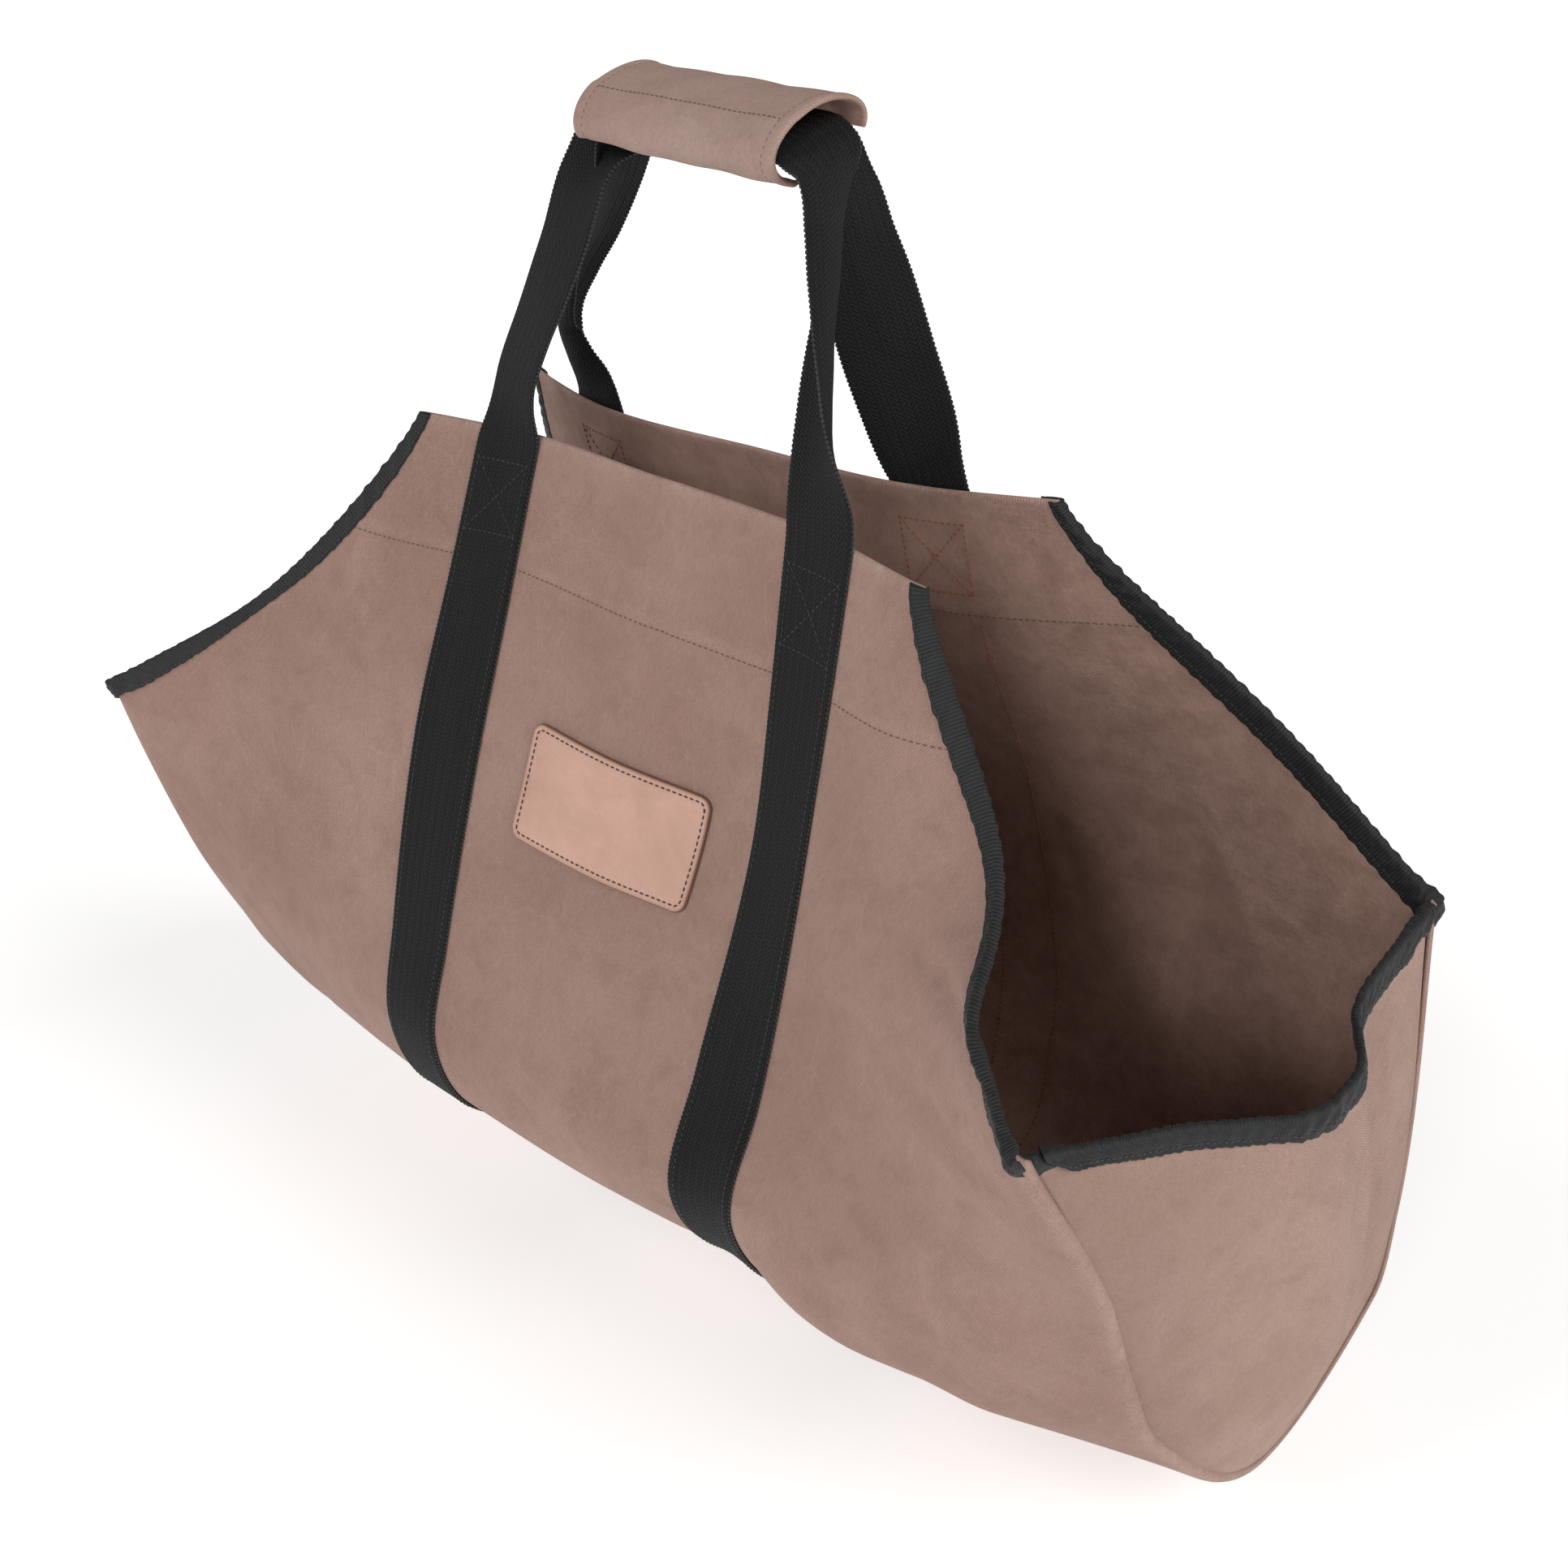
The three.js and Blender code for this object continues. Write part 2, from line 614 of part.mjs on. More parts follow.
// Tape along the top edge of an end panel
function panelTapeGeometry(side) {
  const middle = panelSurface(side, 0);
  const inset = TAPE_THICKNESS / CORNER_DEPTH;
  const columns = panelAcross.map((u) => THREE.MathUtils.clamp(u, inset, 1 - inset));
  const path = tapePath(PANEL_THICKNESS / 2, PANEL_THICKNESS / 2, TAPE_GAP);
  const secondRow = panelDown[1];
  const face = (name) => {
    const surfaces = path[name].map(({ lift }) => panelSurface(side, lift));
    return columns.map((u) => {
      const down = middle(u, secondRow).distanceTo(middle(u, 0)) / secondRow;
      return path[name].map(({ reach }, k) => {
        const point = surfaces[k](u, Math.max(reach, 0) / down);
        point.z -= Math.min(reach, 0);
        return point;
      });
    });
  };
  return shell(face('inside'), face('outside'));
}

// Webbing: one band for each side of the carrier
function webbingGeometry(front, leftLeg, rightLeg) {
  const sign = front ? -1 : 1;
  const near = CANVAS_THICKNESS / 2 + GAP;
  const far = near + WEB_THICKNESS;
  const outFirst = front;
  const faceA = [];
  const faceB = [];
  const acrossShares = front ? [0.5, 0, -0.5] : [-0.5, 0, 0.5];
  const panelRow = (side, girth) => {
    const xAt = (share) => side * webOffset - side * share * WEB_WIDTH;
    const points = (distance) => acrossShares.map((share) => offCloth(xAt(share), sign * girth, distance));
    faceA.push(points(outFirst ? far : near));
    faceB.push(points(outFirst ? near : far));
  };
  const panelGirths = halfRows.slice();
  panelGirths[0] = GAP;
  for (const girth of panelGirths) {
    panelRow(-1, girth);
  }
  for (const row of legRows(front, leftLeg, rightLeg, acrossShares)) {
    faceA.push(row.a);
    faceB.push(row.b);
  }
  for (const girth of panelGirths.slice().reverse()) {
    panelRow(1, girth);
  }
  return shell(faceA, faceB);
}

// Rows of the free part of a band, from its left lip over the grip to its right lip
function legRows(front, leftLeg, rightLeg, acrossShares) {
  const sign = front ? -1 : 1;
  const middle = CANVAS_THICKNESS / 2 + GAP + WEB_THICKNESS / 2;
  const knots = [];
  const addPanel = (side, girth) => {
    const point = offCloth(side * webOffset, sign * girth, middle);
    knots.push({ point, turn: side < 0 ? 0 : -sign * halfTurn, bank: 0 });
  };
  const lipPoint = (side) => offCloth(side * webOffset, sign * HALF_GIRTH, middle);
  const addLeg = (side, rows) => {
    const lip = lipPoint(side);
    for (const row of rows) {
      const x = row.along * webOffset;
      const y = row.depth * lip.y;
      const z = lip.z + row.rise * (gripHeight - lip.z);
      const bank = THREE.MathUtils.smoothstep(row.rise, BANK_START, BANK_END);
      knots.push({ point: new THREE.Vector3(x, y, z), turn: row.turn, bank: -sign * GRIP_TILT * bank });
    }
  };
  const inset = 0.5 * HEM_DEPTH;
  const stack = (-sign * (WEB_THICKNESS + GAP)) / 2;
  addPanel(-1, HALF_GIRTH - inset);
  addPanel(-1, HALF_GIRTH);
  addLeg(-1, leftLeg);
  for (const share of GRIP_KNOTS) {
    const x = (share * GRIP_LENGTH) / 2;
    const y = gripBack((share + 1) / 2) - stack * Math.sin(gripTilt);
    const z = gripHeight + stack * Math.cos(gripTilt);
    knots.push({ point: new THREE.Vector3(x, y, z), turn: -sign * 90, bank: -sign * GRIP_TILT });
  }
  addLeg(1, rightLeg.slice().reverse());
  addPanel(1, HALF_GIRTH);
  addPanel(1, HALF_GIRTH - inset);
  const lengths = [0];
  for (let k = 1; k < knots.length; k += 1) {
    lengths.push(lengths[k - 1] + knots[k].point.distanceTo(knots[k - 1].point));
  }
  const read = (pick, t) => smoothAt(lengths, knots.map(pick), t);
  const centre = (t) => new THREE.Vector3(
    read((k) => k.point.x, t),
    read((k) => k.point.y, t),
    read((k) => k.point.z, t),
  );
  const start = lengths[1];
  const end = lengths[lengths.length - 2];
  const steps = Math.round((end - start) / LEG_STEP);
  const rows = [];
  for (let i = 1; i < steps; i += 1) {
    const t = start + ((end - start) * i) / steps;
    const turn = THREE.MathUtils.degToRad(read((k) => k.turn, t));
    const bank = THREE.MathUtils.degToRad(read((k) => k.bank, t));
    const tangent = centre(t + epsilon).sub(centre(t - epsilon)).normalize();
    const level = Math.cos(bank);
    const width = new THREE.Vector3(Math.cos(turn) * level, Math.sin(turn) * level, Math.sin(bank));
    width.addScaledVector(tangent, -width.dot(tangent)).normalize();
    const normal = width.clone().cross(tangent).normalize();
    const at = (distance) => acrossShares.map((share) => {
      const point = centre(t).addScaledVector(width, share * WEB_WIDTH);
      return point.addScaledVector(normal, distance);
    });
    rows.push({ a: at(WEB_THICKNESS / 2), b: at(-WEB_THICKNESS / 2) });
  }
  return rows;
}

// Depth of the middle of the grip, share running from its left end to its right end
function gripBack(share) {
  return GRIP_DEPTH * THREE.MathUtils.lerp(GRIP_ENDS.left.back, GRIP_ENDS.right.back, share);
}

// The wrap: an arch of doubled canvas over both bands, open underneath
function gripGeometry() {
  const face = (inset) => spread(0, 1, CELLS_GRIP_LENGTH).map((share) => {
    const under = THREE.MathUtils.lerp(GRIP_ENDS.left.turnUnder, GRIP_ENDS.right.turnUnder, share);
    const back = THREE.MathUtils.lerp(GRIP_ENDS.left.turnBack, GRIP_ENDS.right.turnBack, share);
    return spread(-back, halfTurn + under, CELLS_GRIP_ROUND).map((degrees) => {
      const angle = THREE.MathUtils.degToRad(degrees);
      const y = (GRIP_DEPTH / 2 - inset) * Math.cos(angle);
      const z = (GRIP_HEIGHT / 2 - inset) * Math.sin(angle);
      return new THREE.Vector3(
        (share - 0.5) * GRIP_LENGTH,
        gripBack(share) + y * Math.cos(gripTilt) - z * Math.sin(gripTilt),
        gripHeight + y * Math.sin(gripTilt) + z * Math.cos(gripTilt),
      );
    });
  });
  return shell(face(0), face(GRIP_THICKNESS));
}

// The patch: a rounded plate that follows the front panel midway between the bands
function patchGeometry() {
  const halfHeight = PATCH_HEIGHT / 2;
  const halfWidth = PATCH_LENGTH / 2;
  const arc = spread(0, 90, 3).map((degrees) => {
    const angle = THREE.MathUtils.degToRad(degrees);
    return {
      rise: halfHeight - PATCH_CORNER * (1 - Math.cos(angle)),
      half: halfWidth - PATCH_CORNER * (1 - Math.sin(angle)),
    };
  });
  const inner = spread(halfHeight - PATCH_CORNER, -(halfHeight - PATCH_CORNER), 3).slice(1, -1);
  const rows = [
    ...arc,
    ...inner.map((rise) => ({ rise, half: halfWidth })),
    ...arc.slice().reverse().map(({ rise, half }) => ({ rise: -rise, half })),
  ];
  const tilt = THREE.MathUtils.degToRad(PATCH_TILT);
  const face = (distance) => rows.map(({ rise, half }) => spread(-1, 1, 8).map((share) => {
    const x = share * half;
    const flatX = x * Math.cos(tilt) + rise * Math.sin(tilt);
    const flatG = CORNER_GIRTH - PATCH_DROP + rise * Math.cos(tilt) - x * Math.sin(tilt);
    return offCloth(flatX, -flatG, distance);
  }));
  const base = CANVAS_THICKNESS / 2 + PATCH_STANDOFF;
  return shell(face(base + PATCH_THICKNESS), face(base));
}

const group = new THREE.Group();
group.name = 'canvas_log_carrier';
const underside = gripHeight - (WEB_THICKNESS + GAP / 2) / Math.cos(gripTilt);
group.position.set(0, -gripBack(0.5), -underside);

function addPiece(name, geometry, colour, roughness) {
  const material = new THREE.MeshStandardMaterial({ color: colour, roughness, metalness: 0 });
  const mesh = new THREE.Mesh(geometry, material);
  mesh.name = name;
  group.add(mesh);
}

const canvasColour = 0x8c7468;
const panelColour = 0x93795f;
const webColour = 0x24262a;
const tapeColour = 0x3a3d40;
const leatherColour = 0xc79a7c;

addPiece('canvas_sling', slingGeometry(), canvasColour, 0.9);
addPiece('end_panel_left', panelGeometry(-1), panelColour, 0.9);
addPiece('end_panel_right', panelGeometry(1), panelColour, 0.9);
addPiece('webbing_front', webbingGeometry(true, FRONT_LEFT_LEG, FRONT_RIGHT_LEG), webColour, 0.85);
addPiece('webbing_back', webbingGeometry(false, BACK_LEFT_LEG, BACK_RIGHT_LEG), webColour, 0.85);
addPiece('grip_wrap', gripGeometry(), canvasColour, 0.9);
addPiece('leather_patch', patchGeometry(), leatherColour, 0.6);
addPiece('binding_front_left', scoopTapeGeometry(true, -1), tapeColour, 0.85);
addPiece('binding_front_right', scoopTapeGeometry(true, 1), tapeColour, 0.85);
addPiece('binding_back_left', scoopTapeGeometry(false, -1), tapeColour, 0.85);
addPiece('binding_back_right', scoopTapeGeometry(false, 1), tapeColour, 0.85);
addPiece('binding_end_left', panelTapeGeometry(-1), tapeColour, 0.85);
addPiece('binding_end_right', panelTapeGeometry(1), tapeColour, 0.85);

export default group;
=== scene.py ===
import math

import bpy
import numpy as np
from mathutils import Matrix, Vector


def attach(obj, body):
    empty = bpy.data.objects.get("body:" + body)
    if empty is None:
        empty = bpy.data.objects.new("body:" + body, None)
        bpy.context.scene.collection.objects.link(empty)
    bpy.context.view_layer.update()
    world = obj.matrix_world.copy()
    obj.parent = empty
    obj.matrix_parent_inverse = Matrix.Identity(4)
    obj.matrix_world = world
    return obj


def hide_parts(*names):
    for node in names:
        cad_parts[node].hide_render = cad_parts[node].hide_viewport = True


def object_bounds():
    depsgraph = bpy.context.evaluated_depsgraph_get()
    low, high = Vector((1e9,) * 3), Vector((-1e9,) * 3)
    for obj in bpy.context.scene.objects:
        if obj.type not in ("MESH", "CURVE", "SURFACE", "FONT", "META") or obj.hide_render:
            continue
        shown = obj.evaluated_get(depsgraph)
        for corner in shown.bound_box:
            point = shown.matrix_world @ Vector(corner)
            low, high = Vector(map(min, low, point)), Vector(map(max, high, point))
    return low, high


# Canvas log carrier hanging by its grip: cloth, tape, webbing, leather, thread, light and camera.
# Lengths in the tables are millimetres until place() turns them into metres.

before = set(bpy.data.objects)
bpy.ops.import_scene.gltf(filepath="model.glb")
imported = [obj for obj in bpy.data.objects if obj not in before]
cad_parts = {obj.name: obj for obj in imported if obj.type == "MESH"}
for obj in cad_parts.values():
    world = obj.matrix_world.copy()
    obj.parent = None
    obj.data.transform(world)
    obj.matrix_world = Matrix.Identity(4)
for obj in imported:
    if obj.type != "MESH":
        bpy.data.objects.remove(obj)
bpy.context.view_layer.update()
print("frame loaded:", len(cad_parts), "solids")

# shape of the hanging cloth
carrier = {
    "length": 610, "lipLength": 320, "halfGirth": 464, "cornerGirth": 315,
    "lipHeight": 390, "cornerDepth": 142, "scoopRoundness": 1.2,
    "canvas": 2.0, "frontHem": 62.5, "hemBow": 13, "bowHalf": 195, "backHem": 58, "hemExtra": 0.9,
    "foldDepth": 6,
    "lowLevel": 0.35, "bilgeLevel": 0.52, "bellyLevel": 0.69, "waistLevel": 0.53,
}

# keel line: place along the length, back and up
keelRows = [
    (-1.00, 0.28, -0.013), (-0.75, 0.21, 0.003), (-0.33, 0.10, 0.013), (0.00, 0.11, 0.008),
    (0.33, 0.13, -0.003), (0.75, 0.20, -0.030), (1.00, 0.33, -0.046),
]

# sections: place, then (out, up) at low, bilge, belly, corner, waist and lip
frontRows = [
    (-1.00, (0.37, 0.11), (0.57, 0.22), (0.75, 0.35), (1.00, 0.605), (1.11, 0.79), (1.14, 0.97)),
    (-0.75, (0.50, 0.13), (0.67, 0.24), (0.76, 0.37), (0.76, 0.61), (0.62, 0.79), (0.44, 0.985)),
    (-0.33, (0.60, 0.145), (0.76, 0.26), (0.70, 0.39), (0.54, 0.636), (0.36, 0.83), (0.21, 1.00)),
    (0.00, (0.58, 0.14), (0.75, 0.25), (0.65, 0.38), (0.43, 0.618), (0.32, 0.82), (0.22, 1.00)),
    (0.20, (0.55, 0.14), (0.73, 0.25), (0.59, 0.38), (0.34, 0.612), (0.26, 0.81), (0.20, 0.995)),
    (0.33, (0.51, 0.14), (0.68, 0.25), (0.57, 0.38), (0.38, 0.615), (0.28, 0.81), (0.20, 0.99)),
    (0.50, (0.51, 0.12), (0.68, 0.235), (0.60, 0.37), (0.49, 0.605), (0.37, 0.80), (0.25, 0.98)),
    (0.75, (0.45, 0.115), (0.60, 0.23), (0.65, 0.365), (0.65, 0.597), (0.42, 0.77), (0.25, 0.96)),
    (1.00, (0.22, 0.11), (0.40, 0.24), (0.56, 0.37), (1.00, 0.605), (1.21, 0.77), (1.27, 0.96)),
]
backRows = [
    (-1.00, (0.88, 0.08), (1.01, 0.20), (1.03, 0.33), (1.00, 0.603), (0.99, 0.80), (0.96, 0.99)),
    (-0.75, (0.84, 0.09), (0.94, 0.21), (0.96, 0.35), (0.86, 0.618), (0.65, 0.85), (0.46, 1.02)),
    (-0.33, (0.74, 0.13), (0.84, 0.25), (0.83, 0.38), (0.61, 0.633), (0.31, 0.83), (0.14, 1.01)),
    (0.00, (0.74, 0.12), (0.85, 0.245), (0.84, 0.38), (0.63, 0.623), (0.37, 0.82), (0.22, 1.00)),
    (0.33, (0.78, 0.11), (0.88, 0.235), (0.87, 0.37), (0.66, 0.623), (0.39, 0.83), (0.24, 1.01)),
    (0.75, (0.86, 0.08), (0.96, 0.20), (0.97, 0.33), (0.90, 0.618), (0.66, 0.86), (0.51, 1.03)),
    (1.00, (0.96, 0.07), (1.05, 0.19), (1.06, 0.33), (1.00, 0.597), (0.99, 0.80), (0.96, 0.99)),
]

# folds: along, girth, reach, rise, tilt, push
# the first nine are in the solids too, where the first two of them are broader and shallower
foldRows = [
    (0.87, -0.745, 0.13, 0.033, 0, 0.8), (0.74, -0.835, 0.14, 0.057, 0, -0.45),
    (0.67, -0.52, 0.16, 0.07, 20, -1.0), (0.50, -0.30, 0.06, 0.16, -35, 0.8),
    (-0.72, -0.55, 0.07, 0.14, -25, -0.8), (0.83, -0.40, 0.06, 0.18, 12, 0.7),
    (0.62, 0.42, 0.08, 0.20, 25, -1.0), (-0.62, 0.42, 0.08, 0.20, -25, -1.0),
    (0.02, 0.45, 0.14, 0.10, 0, 0.8),
    (0.80, -0.716, 0.16, 0.015, 4, -0.5), (0.72, -0.60, 0.11, 0.018, 8, -0.45),
    (0.76, -0.56, 0.09, 0.014, 14, 0.25),
    (0.58, -0.68, 0.012, 0.09, 8, 0.18), (-0.20, -0.80, 0.013, 0.11, -4, 0.16),
    (0.05, -0.88, 0.012, 0.09, 3, -0.15), (-0.52, -0.42, 0.018, 0.12, -18, 0.25),
    (-0.80, -0.36, 0.02, 0.12, -30, -0.28), (0.47, -0.12, 0.015, 0.10, -28, 0.30),
    (0.55, -0.17, 0.012, 0.08, -34, -0.22), (-0.05, -0.35, 0.16, 0.02, 5, -0.15),
    (0.12, -0.22, 0.10, 0.018, -8, 0.15), (0.70, 0.62, 0.016, 0.10, 24, -0.30),
    (0.44, 0.55, 0.014, 0.12, 10, 0.22), (-0.48, 0.55, 0.015, 0.12, -14, -0.25),
    (0.86, 0.30, 0.02, 0.12, 18, 0.30), (-0.84, 0.34, 0.02, 0.13, -16, -0.30),
]


def smoothAt(knots, values, t):
    knots = np.array(knots, float)
    values = np.array(values, float)
    t = np.asarray(t, float)
    last = len(knots) - 1
    before = np.maximum(np.arange(last + 1) - 1, 0)
    after = np.minimum(np.arange(last + 1) + 1, last)
    span = knots[after] - knots[before]
    many = values.ndim == 2
    slopes = (values[after] - values[before]) / (span[:, None] if many else span)
    k = np.clip(np.searchsorted(knots, t) - 1, 0, last - 1)
    width = knots[k + 1] - knots[k]
    s = (t - knots[k]) / width
    at = (k, np.arange(values.shape[1])) if many else k
    nextAt = (k + 1, np.arange(values.shape[1])) if many else k + 1
    start = values[at] * (2 * s**3 - 3 * s**2 + 1) + slopes[at] * width * (s**3 - 2 * s**2 + s)
    return start + values[nextAt] * (3 * s**2 - 2 * s**3) + slopes[nextAt] * width * (s**3 - s**2)


def smoothStep(value, low, high):
    t = np.clip((value - low) / (high - low), 0, 1)
    return t * t * (3 - 2 * t)


def runLengths(points):
    return np.concatenate([[0], np.cumsum(np.linalg.norm(np.diff(points, axis=0), axis=1))])


halfLength = carrier["length"] / 2
halfLip = carrier["lipLength"] / 2
halfGirth = carrier["halfGirth"]
cornerGirth = carrier["cornerGirth"]
levels = [
    halfGirth, cornerGirth + carrier["waistLevel"] * (halfGirth - cornerGirth), cornerGirth,
    carrier["bellyLevel"] * cornerGirth, carrier["bilgeLevel"] * cornerGirth,
    carrier["lowLevel"] * cornerGirth,
]
girthKnots = [-g for g in levels] + [0] + levels[::-1]


# every function below takes flat arrays of x and girth and returns an array of points
def sheetPoint(x, girth):
    at = x / halfLength
    rowAt = lambda rows, pick: smoothAt([r[0] for r in rows], [pick(r) for r in rows], at)
    levelAt = lambda rows, k, part: rowAt(rows, lambda r: r[k][part])
    count = len(levels)
    depths = [-levelAt(frontRows, k, 0) for k in range(count, 0, -1)]
    heights = [levelAt(frontRows, k, 1) for k in range(count, 0, -1)]
    depths.append(rowAt(keelRows, lambda r: r[1]))
    heights.append(rowAt(keelRows, lambda r: r[2]))
    depths += [levelAt(backRows, k, 0) for k in range(1, count + 1)]
    heights += [levelAt(backRows, k, 1) for k in range(1, count + 1)]
    y = carrier["cornerDepth"] * smoothAt(girthKnots, depths, girth)
    z = carrier["lipHeight"] * smoothAt(girthKnots, heights, girth)
    return np.stack([x, y, z], 1)


def outwardNormal(pointAt, x, girth, step=0.5):
    along = pointAt(x + step, girth) - pointAt(x - step, girth)
    around = pointAt(x, girth + step) - pointAt(x, girth - step)
    normal = np.cross(around, along)
    return normal / np.linalg.norm(normal, axis=1)[:, None]


def foldPush(x, girth):
    push = np.zeros_like(x)
    for along, where, reach, rise, tilt, size in foldRows:
        dx = x - along * halfLength
        dg = girth - where * halfGirth
        turn = math.radians(tilt)
        a = (dx * math.cos(turn) + dg * math.sin(turn)) / (reach * halfLength)
        b = (dg * math.cos(turn) - dx * math.sin(turn)) / (rise * halfGirth)
        push = push + size * carrier["foldDepth"] * np.exp(-a * a - b * b)
    lazy = np.sin(x / 23 + np.sin(girth / 61) * 1.7) * np.sin(girth / 71 + 0.8 + x / 190)
    return push + 0.45 * lazy


def clothPoint(x, girth):
    return sheetPoint(x, girth) + outwardNormal(sheetPoint, x, girth) * foldPush(x, girth)[:, None]


def offCloth(x, girth, distance):
    x, girth, distance = np.broadcast_arrays(
        np.asarray(x, float), np.asarray(girth, float), np.asarray(distance, float))
    shape = x.shape
    x, girth, distance = x.ravel(), girth.ravel(), distance.ravel()
    point = clothPoint(x, girth) + outwardNormal(clothPoint, x, girth, 1.0) * distance[:, None]
    return point.reshape(shape + (3,))


def cutHalfLength(girth):
    above = np.abs(girth) - cornerGirth
    rise = np.clip(1 - above / (halfGirth - cornerGirth), 0, 1)
    power = carrier["scoopRoundness"]
    left = np.clip(1 - rise**power, 0, None) ** (1 / power)
    return np.where(above <= 0, halfLength, halfLength - (halfLength - halfLip) * left)


def hemLine(x, girth):
    # girth, from the keel, of the stitches along the hem: the front's bow down between its ends
    bow = np.clip(np.abs(x) / carrier["bowHalf"], 0, 1.1) ** 4
    front = halfGirth - carrier["frontHem"] + carrier["hemBow"] * bow
    return np.where(np.asarray(girth) < 0, front, halfGirth - carrier["backHem"])


# how far towards the inner face's colour, which is painted lighter as painted light, a sheet's edge goes
edgeTone = 0.3

# grip and webbing sizes, then the helpers that build meshes
grip = {
    "length": 134, "depth": 56, "height": 30, "thickness": 2.6, "tilt": 18,
    "leftBack": 0.20, "rightBack": 0.00, "leftUnder": 14, "rightUnder": 50,
    "leftTurnBack": 12, "rightTurnBack": 22, "handleRise": 147, "rimRound": 1.1, "seamAngle": 112,
    "edgeRound": 0.5, "rimStitch": 6.6, "seamInset": 7,
}
webbing = {
    "width": 38, "thickness": 1.8, "spacing": 199, "gap": 0.35, "step": 4.0,
    "bankStart": 0.88, "bankEnd": 0.97, "boxTop": 14, "boxLength": 34, "boxWidth": 31, "edgeStitch": 3.0,
    "edgeRound": 0.22, "standOff": 0.12, "lipInset": 27.5, "edgeThin": 0.3, "thinReach": 0.035,
}
gripHeight = carrier["lipHeight"] + grip["handleRise"]
gripTilt = math.radians(grip["tilt"])


def gripBack(share):
    return grip["depth"] * (grip["leftBack"] + (grip["rightBack"] - grip["leftBack"]) * share)


underside = gripHeight - (webbing["thickness"] + webbing["gap"] / 2) / math.cos(gripTilt)
shift = np.array([0, -gripBack(0.5), -underside])


def place(points):
    return (np.asarray(points, float) + shift) / 1000


def newObject(name, mesh):
    piece = bpy.data.objects.new(name, mesh)
    bpy.context.scene.collection.objects.link(piece)
    return piece


def ownPiece(piece, slot, *nodes):
    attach(piece, "root")
    if nodes:
        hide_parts(*nodes)
    return piece


def buildLoft(name, sections, faceCount, u, v, inside, material):
    # each section is a ring of points: over face A, round an edge, back over face B, round an edge
    rings, loop = sections.shape[:2]
    verts = place(sections.reshape(-1, 3))
    rowStart = np.arange(rings - 1)[:, None] * loop
    a = rowStart + np.arange(loop)[None, :]
    b = rowStart + (np.arange(loop)[None, :] + 1) % loop
    faces = [tuple(q) for q in np.stack([a, b, b + loop, a + loop], 2).reshape(-1, 4)]
    uvs = [(r + down, c + on) for r in range(rings - 1) for c in range(loop)
           for down, on in ((0, 0), (0, 1), (1, 1), (1, 0))]
    # both ends are closed: quads from face to face, and one face for each rounded edge
    edge = (loop - 2 * faceCount) // 2
    last = 2 * faceCount + edge - 1
    caps = [[k, k + 1, last - k - 1, last - k] for k in range(faceCount - 1)]
    caps.append([faceCount - 1 + i for i in range(edge + 2)])
    caps.append([(last + i) % loop for i in range(edge + 2)])
    for ring in (0, rings - 1):
        for ids in caps:
            order = ids if ring else ids[::-1]
            faces.append(tuple(ring * loop + k for k in order))
            uvs += [(ring, k) for k in order]
    mesh = bpy.data.meshes.new(name)
    mesh.from_pydata(verts.tolist(), [], faces)
    uvLayer = mesh.uv_layers.new(name="cloth")
    index = np.array(uvs)
    closed = [np.concatenate([w, w[:, :1]], 1)[index[:, 0], index[:, 1]] for w in (u, v)]
    flat = np.stack(closed, 1) / 1000
    uvLayer.data.foreach_set("uv", flat.astype(np.float32).ravel())
    setPointValues(mesh, "inside", np.tile(inside, rings))
    setPointValues(mesh, "wear", np.zeros(rings * loop))
    mesh.polygons.foreach_set("use_smooth", [True] * len(mesh.polygons))
    mesh.update()
    turnOutwards(mesh)
    mesh.materials.append(material)
    return newObject(name, mesh)


def setPointValues(mesh, name, values):
    attribute = mesh.attributes.get(name) or mesh.attributes.new(name, "FLOAT", "POINT")
    attribute.data.foreach_set("value", np.asarray(values, np.float32).ravel())


def turnOutwards(mesh):
    points = np.empty(len(mesh.vertices) * 3)
    mesh.vertices.foreach_get("co", points)
    points = points.reshape(-1, 3)
    mesh.calc_loop_triangles()
    tris = np.empty(len(mesh.loop_triangles) * 3, int)
    mesh.loop_triangles.foreach_get("vertices", tris)
    a, b, c = points[tris.reshape(-1, 3)].transpose(1, 0, 2)
    if np.einsum("ij,ij->i", a, np.cross(b, c)).sum() < 0:
        mesh.flip_normals()


def finishLoft(name, faceA, faceB, rolls, u, v, material):
    # faceA and faceB are grids of points, a row for each ring; rolls round the two long edges
    rollEnd, rollStart = rolls
    sections = np.concatenate([faceA, rollEnd, faceB[:, ::-1], rollStart], 1)
    count, edge = faceA.shape[1], rollEnd.shape[1]
    rim = np.full(edge, edgeTone)
    inside = np.concatenate([np.zeros(count), rim, np.ones(count), rim])
    spreadUv = lambda w: np.concatenate(
        [w, np.repeat(w[:, -1:], edge, 1), w[:, ::-1], np.repeat(w[:, :1], edge, 1)], 1)
    return buildLoft(name, sections, count, spreadUv(u), spreadUv(v), inside, material)


def edgeRolls(middle, share):
    # one row of points past each long edge, a share of the last cell out
    start = middle[:, :1] + (middle[:, :1] - middle[:, 1:2]) * share
    end = middle[:, -1:] + (middle[:, -1:] - middle[:, -2:-1]) * share
    return end, start


# materials
def newMaterial(name):
    material = bpy.data.materials.new(name)
    material.use_nodes = True
    tree = material.node_tree
    return material, tree, tree.nodes["Principled BSDF"]


def addNode(tree, kind, inputs=None, **settings):
    node = tree.nodes.new(kind)
    for key, value in settings.items():
        setattr(node, key, value)
    setInputs(tree, node, inputs or {})
    return node


def setInputs(tree, node, inputs):
    for key, value in inputs.items():
        if isinstance(value, bpy.types.NodeSocket):
            tree.links.new(value, node.inputs[key])
        else:
            node.inputs[key].default_value = value


